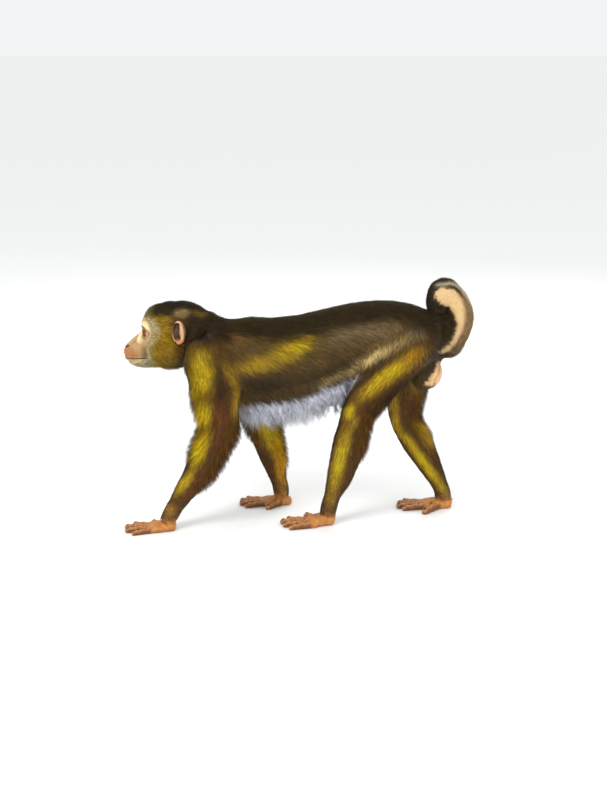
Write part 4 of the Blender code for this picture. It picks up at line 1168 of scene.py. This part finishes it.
def nailMaterial():
    material, tree, shader = newMaterial("macaqueNail", 0.35, Coat_Weight=0.3, Coat_Roughness=0.25)
    where = addNode(tree, "ShaderNodeTexCoord")
    streaks = addNode(tree, "ShaderNodeTexNoise", Scale=700.0, Detail=2.0)
    colours = addNode(tree, "ShaderNodeValToRGB")
    setStops(colours, [(0.35, tone(40, 38, 44)), (0.75, tone(86, 82, 88))])
    join(
        tree, (where, "Object", streaks, "Vector"), (streaks, "Fac", colours, "Fac"),
        (colours, "Color", shader, "Base Color"),
    )
    return material


# Tufts

tuft = {
    "mostTriangles": 196000, "bentShare": 0.12, "clump": 0.0050, "clumpPull": 0.30, "lean": 0.10,
    "stray": 0.06, "patch": 0.0015, "sink": 0.0006, "light": 0.13, "dark": 0.17,
}


def hairPlan(points, normals, edges, shares, ways):  # how the hair grows at each point of the skin
    x, y, z = points.T
    share = dict(zip(regions, shares))
    way = sum(shares[k][:, None] * ways[k] for k in range(len(regions)))
    plan = {
        key: sum(share[name] * coat[name][key] for name in regions)
        for key in ("length", "width", "lift", "dense")
    }
    arms, legs = share["arm_left"] + share["arm_right"], share["leg_left"] + share["leg_right"]
    seen = sideHeight(points)
    # Hair of the flanks slopes down, and more so low on the body
    slope = 0.75 - 0.50 * ramp(riseOf(points), 0.5, 1.0)
    way[:, 2] -= share["trunk"] * ramp(np.abs(normals[:, 1]), 0.2, 0.8) * slope
    fringe = fringeOf(points) * ramp(share["trunk"], 0.35, 0.6)
    hang = np.array([0.30, 0, -1.0]) + np.stack([0 * y, np.sign(y) * 0.10, 0 * y], 1)
    way = mix(way, hang, fringe)
    # Cheeks: back and down, longer behind
    behind = x - np.interp(z, faceHeights, faceEdges)
    cheek = share["head"] * fall(z, 0.302, 0.314) * ramp(behind, 0.0, 0.006)
    way[:, 2] -= 0.42 * cheek
    way[:, 1] += np.sign(y) * 0.25 * cheek
    # Spiky hair that fans out from the rump over the root of the tail
    front = np.interp(seen, tailHeights, tailFront)
    fan = ramp(share["tail"] + share["trunk"] * ramp(x, 0.200, 0.212), 0.3, 0.6)
    fan *= ramp(-normals[:, 1], -0.1, 0.3)
    here = ramp(front + 0.004 - x, 0.0, 0.004) * ramp(z, 0.272, 0.282)
    fan *= here * fall(z, 0.338, 0.350) * ramp(x, 0.196, 0.208)
    away = np.stack([x - tuftMiddle[0] + 0.012, 0 * y - 0.004, (z - tuftMiddle[1]) * 0.8], 1)
    way = mix(way, unit(away), fan)
    # The front of the upper arm, the elbow and the back of the thigh are shaggy
    shag = arms * ramp(-normals[:, 0], 0.1, 0.6) * ramp(z, 0.105, 0.135) * fall(z, 0.225, 0.250)
    shag += 0.9 * arms * ramp(normals[:, 0], 0.2, 0.7) * ramp(z, 0.060, 0.085) * fall(z, 0.160, 0.185)
    shag += 0.8 * legs * ramp(normals[:, 0], 0.2, 0.7) * ramp(z, 0.105, 0.135) * fall(z, 0.200, 0.230)
    shag = np.clip(shag, 0, 1)
    for _ in range(2):
        way = unit(way - normals * (way * normals).sum(1)[:, None])
        way = relax(way, edges, 8, 0.6)
    # Lengths
    length = plan["length"] * (1 + 0.45 * cheek * ramp(behind, 0.008, 0.030))
    length *= 1 - 0.42 * share["head"] * fall(behind, 0.0, 0.012)
    length = length * (1 - fringe) + 0.031 * fringe
    length *= 1 + 0.60 * shag
    low = fall(z, 0.020, 0.075) * (arms + legs)
    length *= 1 - 0.58 * low
    length *= 1 + 0.35 * ramp(x, 0.186, 0.204) * share["trunk"]
    near = ramp(front + 0.004 - x, 0.002, 0.008)
    length = length * (1 - fan) + (0.0105 + 0.004 * near) * fan
    # Short hair round the swelling
    atX, _, atZ = swelling["at"]
    away = (points - np.array([atX + 0.002, 0, atZ])) / np.array([0.030, 0.040, 0.032])
    hug = fall(np.linalg.norm(away, axis=1), 1.00, 1.35)
    hug *= ramp(x, 0.180, 0.194) * (1 - fan)
    length = length * (1 - hug) + 0.0048 * hug
    plan["lift"] += 36 * shag + 5 * fringe + 5 * cheek + 6 * fan
    plan["width"] *= (1 - 0.25 * low) * (1 - 0.30 * fringe)
    # Where no hair grows, apart from fine down on the face and on the backs of the hands and feet
    face, paw = faceOf(points), pawOf(points)
    onBacks = paw * ramp(normals[:, 2], 0.2, 0.5) * ramp(z, 0.007, 0.010)
    down = np.maximum(face * fall(-x, 0.268, 0.272), onBacks)
    bare = np.maximum.reduce([face, earOf(points), swellingOf(points), tailBareOf(points, shares, normals)])
    hair = fall(bare, 0.35, 0.75) * fall(paw, 0.05, 1.0)
    down *= 1 - hair
    edge = share["head"] * fall(behind, 0.004, 0.014)
    plan["dense"] = plan["dense"] * hair * (1 + 0.95 * fringe + 0.5 * fan + 0.5 * edge) + 0.14 * down
    plan["width"] = plan["width"] * (1 - down) + 0.00010 * down
    plan["length"] = length * (1 - down) + 0.0026 * down
    plan.update(way=way, fringe=fringe, shag=np.maximum(shag, 0.4 * fan), down=down)
    return plan


def buildCoat(skin, material):
    points, normals, edges = pointsOf(skin), normalsOf(skin), edgesOf(skin)
    shares, ways = regionShares(points)
    plan = hairPlan(points, normals, edges, shares, ways)
    # Roots, drawn evenly over the skin
    # The triangles come in another order each run, so they are sorted first
    corners = readAll(skin.data.polygons, "vertices", 3, np.int32)
    turns = (corners.argmin(1)[:, None] + np.arange(3)) % 3
    corners = np.take_along_axis(corners, turns, 1)
    corners = corners[np.lexsort(corners.T)]
    one, two, three = (points[corners[:, k]] for k in range(3))
    area = np.linalg.norm(np.cross(two - one, three - one), axis=1) / 2 * 1e6
    steps = np.cumsum(area * plan["dense"][corners].mean(1))
    picks = np.searchsorted(steps, np.arange(int(steps[-1])) + draw.random(int(steps[-1])))
    picks = np.minimum(picks, len(corners) - 1)
    share1, share2 = draw.random(len(picks)), draw.random(len(picks))
    flip = share1 + share2 > 1
    share1, share2 = np.where(flip, 1 - share1, share1), np.where(flip, 1 - share2, share2)
    blend = np.stack([1 - share1 - share2, share1, share2], 1)
    corner = corners[picks]

    def at(values):
        if values.ndim == 1:
            return (values[corner] * blend).sum(1)
        return (values[corner] * blend[:, :, None]).sum(1)

    hair = {key: at(values) for key, values in plan.items()}
    zone = np.stack([at(values) for values in shares]).argmax(0)
    hair.update(root=at(points), out=unit(at(normals)), zone=zone)
    hair["way"] = unit(hair["way"] - hair["out"] * (hair["way"] * hair["out"]).sum(1)[:, None])
    colour = at(coatTone(points, normals, shares))
    hair["colour"] = mix(colour, skinTones["face"], hair["down"] * 0.9)
    tree = BVHTree.FromPolygons(points.tolist(), corners.tolist())
    return growTufts(hair, tree, material)


def keepOver(spots, tree, least):  # lifts out what would lie in the skin, as in the folds at groin and neck
    moved, raised = spots.copy(), np.zeros(len(spots), bool)
    for k, spot in enumerate(spots):
        near, normal, _, _ = tree.find_nearest(spot)
        height = sum((spot[axis] - near[axis]) * normal[axis] for axis in range(3))
        if height < least[k]:
            moved[k], raised[k] = near + normal * least[k], height < 0
    return moved, raised


def trianglesOf(bent):
    return int(np.where(bent, len(bentFaces), len(straightFaces)).sum())


def growTufts(hair, tree, material):
    roots, out, way, length = hair["root"], hair["out"], hair["way"], hair["length"]
    fringe, shag = hair["fringe"], hair["shag"]
    count = len(roots)
    # Tufts of one clump lean together
    wobble = np.stack([noise(roots, 0.016, 41 + k) for k in range(3)], 1)
    cells = np.floor((roots + 0.0022 * wobble) / tuft["clump"]).astype(np.int64)
    _, clump = np.unique(cells @ np.array([1, 4001, 16008001]), return_inverse=True)
    clump = clump.ravel()
    clumps = clump.max() + 1
    lean = draw.normal(size=(clumps, 3)) * tuft["lean"]
    calm = (1 - 0.62 * fringe)[:, None]
    way = unit(way + (lean[clump] + draw.normal(size=(count, 3)) * tuft["stray"]) * calm)
    way = unit(way - out * (way * out).sum(1)[:, None])
    length = length * np.clip(draw.normal(1, 0.16, count), 0.55, 1.4)
    length = length * (0.92 + 0.16 * draw.random(clumps))[clump]
    angle = np.radians(hair["lift"] * np.clip(draw.normal(1, 0.25, count), 0.3, 1.8))
    start = way * np.cos(angle * 1.6)[:, None] + out * np.sin(angle * 1.6)[:, None]
    rise = angle * (0.35 + 0.45 * shag)
    late = way * np.cos(rise)[:, None] + out * np.sin(rise)[:, None]
    late[:, 2] -= 0.30 * shag + 0.15 * fringe
    late = unit(late)
    roots = roots - out * (tuft["sink"] * (1 - 0.6 * hair["down"]))[:, None]
    tips = roots + (start * 0.5 + late * 0.5) * length[:, None]
    near = np.bincount(clump, minlength=clumps)
    heart = np.stack([np.bincount(clump, tips[:, k], clumps) / near for k in range(3)], 1)
    pull = tuft["clumpPull"] * (0.4 + 0.4 * draw.random(count)) * (1 - hair["down"])
    pull = pull * (1 + 1.6 * shag - 0.4 * fringe)
    tips += (heart[clump] - tips) * pull[:, None]
    tips[:, 2] = np.maximum(tips[:, 2], 0.0035)
    tips, raised = keepOver(tips, tree, length * 0.10)
    middles = roots + start * (length * 0.34)[:, None] + (tips - roots) * 0.24
    middles = (middles + (roots + tips) / 2) / 2
    middles, low = keepOver(middles, tree, length * 0.06)
    # Colour: dark at the root as painted shade deep in the coat, and some tufts lighter or darker all along
    kind = draw.random(count) - 0.06 * (hair["zone"] == regions.index("trunk"))
    shade = (0.86 + 0.28 * draw.random(clumps))[clump] * np.clip(draw.normal(1, 0.16, count), 0.5, 1.5)
    shade = np.where(kind < tuft["light"], shade * 1.65, shade)
    shade = np.where(kind > 1 - tuft["dark"], shade * 0.52, shade)
    shade = 1 + (shade - 1) * (1 - 0.70 * fringe) * (1 - 0.8 * hair["down"])
    body = hair["colour"] * shade[:, None]
    light = body * (1.12 + 0.22 * draw.random(count))[:, None]
    ends = fringe * (draw.random(count) < 0.62)
    tints = {
        "root": body * (0.55 + 0.42 * fringe + 0.4 * hair["down"])[:, None],
        "middle": body,
        "tip": mix(light, tones["fringeTip"], ends * 0.95),
    }
    bent = (draw.random(count) < tuft["bentShare"] + 0.20 * np.maximum(fringe, shag)) | raised | low
    # Pieces of the coat
    zone, left, rear = hair["zone"], roots[:, 1] < 0, roots[:, 0] > 0.03
    names = {}
    for k, region in enumerate(regions):
        on = zone == k
        if region == "trunk":
            belly = fringe > 0.5
            for side, here in (("left", left), ("right", ~left)):
                names["coat_belly_" + side] = on & belly & here
                names["coat_fore_flank_" + side] = on & ~belly & ~rear & here
                names["coat_hind_flank_" + side] = on & ~belly & rear & here
        elif region == "head":
            names["coat_head_left"], names["coat_head_right"] = on & left, on & ~left
        else:
            names["coat_" + region] = on
    pieces, total = [], 0
    for name, chosen in names.items():
        spots = np.nonzero(chosen)[0]
        most, triangles = tuft["mostTriangles"], trianglesOf(bent[spots])
        if triangles > most:
            print(name, "would have", triangles)
            spots = np.sort(draw.permutation(spots)[: int(len(spots) * most / triangles)])
        total += trianglesOf(bent[spots])
        shape = {"root": roots[spots], "middle": middles[spots], "tip": tips[spots]}
        tint = {key: values[spots] for key, values in tints.items()}
        uv = unwrap(roots[spots], zone[spots])
        piece = tuftMesh(name, shape, tint, out[spots], hair["width"][spots], uv, bent[spots])
        piece.data.materials.append(material)
        pieces.append(piece)
    print("tufts", count, "triangles", total)
    return pieces


def unwrap(points, label):  # each region unrolled round its own line, in a cell of its own
    uv = np.zeros((len(points), 2))
    for k, name in enumerate(regions):
        on = label == k
        if not on.any():
            continue
        line = np.array(coat[name]["line"], float)
        spots = points[on]
        best = np.full(len(spots), 1e9)
        along, around = np.zeros(len(spots)), np.zeros(len(spots))
        for step, (one, two) in enumerate(zip(line, line[1:])):
            run, share, away = onRun(spots, one, two)
            far = np.linalg.norm(away, axis=1)
            upright = abs(unit(run)[2]) >= 0.8
            side = unit(np.cross(run, np.array([1.0, 0.0, 0.0] if upright else [0.0, 0.0, 1.0])))
            up = unit(np.cross(side, run))
            turn = np.arctan2(away @ side, away @ up) / (2 * math.pi) + 0.5
            closer = far < best
            along = np.where(closer, (step + share) / (len(line) - 1), along)
            around = np.where(closer, turn, around)
            best = np.minimum(best, far)
        row, column = divmod(k, 3)
        uv[on, 0] = (column + 0.02 + 0.96 * along) / 3
        uv[on, 1] = (row + 0.02 + 0.96 * around) / 3
    return uv


# Corners of each face of a tuft. Bent: two rings of three points and a tip. Straight: one ring and a tip
bentFaces = [
    (0, 2, 1), (0, 1, 4), (0, 4, 3), (1, 2, 5), (1, 5, 4), (2, 0, 3), (2, 3, 5), (3, 4, 6), (4, 5, 6),
    (5, 3, 6),
]
straightFaces = [(0, 2, 1), (0, 1, 3), (1, 2, 3), (2, 0, 3)]


def tuftMesh(name, shape, tint, out, width, uv, bent):
    points, faces, spread, colours, start = [], [], [], [], 0
    patch = np.array([(-1, -1), (0, -0.7), (1, -1), (-0.8, 0.2), (0, 0.4), (0.8, 0.2), (0, 1)])
    patch = patch * tuft["patch"]
    for chosen, pattern in ((bent, bentFaces), (~bent, straightFaces)):
        roots, middles, tips = (shape[key][chosen] for key in ("root", "middle", "tip"))
        rings = [(roots, tips - roots, 1.0)]
        if pattern is bentFaces:
            rings = [(roots, middles - roots, 1.0), (middles, tips - roots, 0.85)]
        corners = np.empty((len(roots), len(rings) * 3 + 1, 3))
        for ring, (at, way, size) in enumerate(rings):
            along = unit(way)
            up = unit(out[chosen] - along * (out[chosen] * along).sum(1)[:, None])
            side, half = np.cross(up, along), (width[chosen] * size)[:, None]
            corners[:, ring * 3] = at + side * half
            corners[:, ring * 3 + 1] = at + up * half * 0.75
            corners[:, ring * 3 + 2] = at - side * half
        corners[:, -1] = tips
        size = corners.shape[1]
        rows = list(range(size - 1)) + [6]
        points.append(corners.reshape(-1, 3))
        spread.append((uv[chosen][:, None] + patch[rows][None]).reshape(-1, 2))
        firsts = start + np.arange(len(roots)) * size
        faces.append((np.array(pattern)[None] + firsts[:, None, None]).reshape(-1))
        keys = ["root"] * 3 + ["middle"] * (size - 4) + ["tip"]
        colours.append(np.stack([tint[key][chosen] for key in keys], 1).reshape(-1, 3))
        start += len(roots) * size
    points, faces, spread, colours = (np.concatenate(part) for part in (points, faces, spread, colours))
    mesh = bpy.data.meshes.new(name)
    mesh.vertices.add(len(points))
    mesh.vertices.foreach_set("co", points.astype(np.float32).ravel())
    mesh.loops.add(len(faces))
    mesh.loops.foreach_set("vertex_index", faces.astype(np.int32))
    mesh.polygons.add(len(faces) // 3)
    mesh.polygons.foreach_set("loop_start", np.arange(0, len(faces), 3, dtype=np.int32))
    mesh.update(calc_edges=True)
    layer = mesh.uv_layers.new(name="OFBake")
    layer.data.foreach_set("uv", spread[faces].astype(np.float32).ravel())
    addColours(mesh, "coatColour", np.clip(colours, 0.001, 1))
    mesh.shade_smooth()
    return newObject(name, mesh)


# Eyes

def makeEye(side, sign, material):
    bm = bmesh.new()
    bmesh.ops.create_uvsphere(bm, u_segments=64, v_segments=64, radius=1)
    made = fromBmesh("eyeball_" + side, bm)
    points = pointsOf(made)
    polar = np.degrees(np.arccos(np.clip(points[:, 2], -1, 1)))
    turn = np.arctan2(points[:, 1], points[:, 0])
    swell = eye["cornea"] * fall(polar, eye["corneaEdge"] * 0.3, eye["corneaEdge"])
    points *= (eye["radius"] + swell)[:, None]
    spin = np.array(gazeOf(sign).to_track_quat("Z", "Y").to_matrix())
    setPoints(made, points @ spin.T + np.array(eyeAt(sign)))
    addValues(made.data, "gazeRing", "FLOAT", "value", polar / 90)
    addValues(made.data, "gazeTurn", "FLOAT", "value", np.abs(turn))
    made.data.shade_smooth()
    made.data.materials.append(material)
    return made


# Nails, set on the tips of the digits by Geometry Nodes

nail = {
    "size": 1.0, "long": 0.0072, "wide": 0.0056, "high": 0.0022, "tilt": 32, "back": 0.0030, "rise": 1.57,
    "fitsRadius": 0.0052,
}


def nailShape():
    bm = bmesh.new()
    bmesh.ops.create_uvsphere(bm, u_segments=14, v_segments=8, radius=1)
    for vert in bm.verts:
        lengthwise, sideways, height = vert.co
        blunt = 1 - 0.25 * max(lengthwise, 0) ** 2
        vert.co = (
            lengthwise * nail["long"] / 2, sideways * nail["wide"] / 2 * blunt,
            max(height, -0.35) * nail["high"] / 2
        )
        vert.co.z -= 0.0007 * (sideways * 1.2) ** 2
    return fromBmesh("nail_shape", bm)


def placeTree(name, shape, material, size):
    tree = bpy.data.node_groups.new(name, "GeometryNodeTree")
    tree.interface.new_socket("Geometry", in_out="INPUT", socket_type="NodeSocketGeometry")
    sizeSocket = tree.interface.new_socket("Nail Size", in_out="INPUT", socket_type="NodeSocketFloat")
    sizeSocket.default_value = size
    tree.interface.new_socket("Geometry", in_out="OUTPUT", socket_type="NodeSocketGeometry")
    start, end = tree.nodes.new("NodeGroupInput"), tree.nodes.new("NodeGroupOutput")
    cloud = tree.nodes.new("GeometryNodeMeshToPoints")
    pick = tree.nodes.new("GeometryNodeObjectInfo")
    pick.inputs["Object"].default_value = shape
    turn, scale = (tree.nodes.new("GeometryNodeInputNamedAttribute") for _ in range(2))
    turn.data_type, scale.data_type = "FLOAT_VECTOR", "FLOAT"
    turn.inputs["Name"].default_value, scale.inputs["Name"].default_value = "nailTurn", "nailScale"
    spin = tree.nodes.new("FunctionNodeEulerToRotation")
    times = addNode(tree, "ShaderNodeMath", operation="MULTIPLY")
    place = tree.nodes.new("GeometryNodeInstanceOnPoints")
    real = tree.nodes.new("GeometryNodeRealizeInstances")
    finish = tree.nodes.new("GeometryNodeSetMaterial")
    finish.inputs["Material"].default_value = material
    join(
        tree, (start, "Geometry", cloud, "Mesh"), (cloud, "Points", place, "Points"),
        (pick, "Geometry", place, "Instance"), (turn, "Attribute", spin, "Euler"),
        (spin, "Rotation", place, "Rotation"), (start, "Nail Size", times, 0),
        (scale, "Attribute", times, 1), (times, "Value", place, "Scale"),
        (place, "Instances", real, "Geometry"),
        (real, "Geometry", finish, "Geometry"), (finish, "Geometry", end, "Geometry"),
    )
    return tree, sizeSocket.identifier


def makeNails(material):
    spots, turns, scales = [], [], []
    for paw in paws.values():
        for fromX, fromY, toX, toY, radius in paw["digits"]:
            heading = math.atan2(toY - fromY, toX - fromX)
            long = math.hypot(toX - fromX, toY - fromY)
            share = 1 - nail["back"] / long
            x, y = fromX + (toX - fromX) * share, fromY + (toY - fromY) * share
            spots.append((x, y, radius * nail["rise"]))
            turns.append((0, math.radians(nail["tilt"]), heading))
            scales.append(radius / nail["fitsRadius"])
    cloud = bpy.data.meshes.new("nails")
    cloud.from_pydata(spots, [], [])
    addValues(cloud, "nailTurn", "FLOAT_VECTOR", "vector", turns)
    addValues(cloud, "nailScale", "FLOAT", "value", scales)
    made = newObject("nails", cloud)
    shape = nailShape()
    tree, socket = placeTree("nailTree", shape, material, 1.0)
    setter = made.modifiers.new("place", "NODES")
    setter.node_group = tree
    setter[socket] = nail["size"]
    settle(made)
    drop(shape)
    made.data.shade_smooth()
    return made


# Build

skin = makeSkin()
paint = skinTone(pointsOf(skin), normalsOf(skin), regionShares(pointsOf(skin))[0])
addColours(skin.data, "skinColour", paint)
skin.data.shade_smooth()
skin.data.materials.clear()
skin.data.materials.append(skinMaterial())
coatPieces = buildCoat(skin, coatMaterial())
eyeFinish = eyeMaterial()
eyes = {side: makeEye(side, sign, eyeFinish) for side, sign in bothSides}
nails = makeNails(nailMaterial())

fleshNodes = [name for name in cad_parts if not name.startswith("eye")]
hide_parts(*fleshNodes)
for piece, slot in [(skin, "bare_skin"), (nails, "bare_skin")] + [(piece, "coat") for piece in coatPieces]:
    piece.data.transform(Matrix.Translation(bodyShift))
    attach(piece, "root")
for side, _ in bothSides:
    eyes[side].data.transform(Matrix.Translation(bodyShift))
    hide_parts("eye_" + side)
    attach(eyes[side], "root")
print("pieces in place")

# Floor, light and camera

studio = {
    "floorTone": tone(250, 250, 248), "floorSize": 80.0,
    "worldTone": tone(252, 253, 255), "worldPower": 0.92,
    # Name, place, size, power; each lamp looks at the same middle point
    "lamps": [
        ("key", (-1.0, -1.7, 2.0), 1.1, 36),
        ("fill", (1.7, -1.5, 1.0), 1.6, 9),
        ("rim", (0.5, 1.8, 1.6), 1.2, 12),
    ],
}
camera = {"away": 2.6, "elevation": 13, "lookAt": (0.0056, 0, 0.192), "seen": 1.28, "sensor": 36}


def makeStudio():
    bm = bmesh.new()
    bmesh.ops.create_grid(bm, x_segments=1, y_segments=1, size=studio["floorSize"] / 2)
    floor = fromBmesh("floor", bm)
    material, _, shader = newMaterial("paleFloor", 0.75)
    shader.inputs["Base Color"].default_value = (*studio["floorTone"], 1)
    floor.data.materials.append(material)
    world = scene.world or bpy.data.worlds.new("studio")
    scene.world = world
    world.use_nodes = True
    sky = world.node_tree.nodes["Background"]
    sky.inputs["Color"].default_value = (*studio["worldTone"], 1)
    sky.inputs["Strength"].default_value = studio["worldPower"]
    middle = Vector((0, 0, 0.2))
    for name, at, size, power in studio["lamps"]:
        lamp = bpy.data.lights.new(name, "AREA")
        lamp.shape, lamp.size, lamp.energy = "DISK", size, power
        holder = bpy.data.objects.new(name, lamp)
        scene.collection.objects.link(holder)
        holder.location = at
        holder.rotation_euler = (middle - Vector(at)).to_track_quat("-Z", "Y").to_euler()


def makeCamera():
    made = bpy.data.cameras.new("camera")
    holder = bpy.data.objects.new("camera", made)
    scene.collection.objects.link(holder)
    rise = math.radians(camera["elevation"])
    back = Vector((0, -math.cos(rise), math.sin(rise)))
    holder.location = Vector(camera["lookAt"]) + bodyShift + back * camera["away"]
    holder.rotation_euler = (-back).to_track_quat("-Z", "Y").to_euler()
    made.sensor_width = camera["sensor"]
    made.lens = camera["sensor"] * camera["away"] / camera["seen"]
    scene.camera = holder


makeStudio()
makeCamera()
scene.view_settings.view_transform = "Standard"
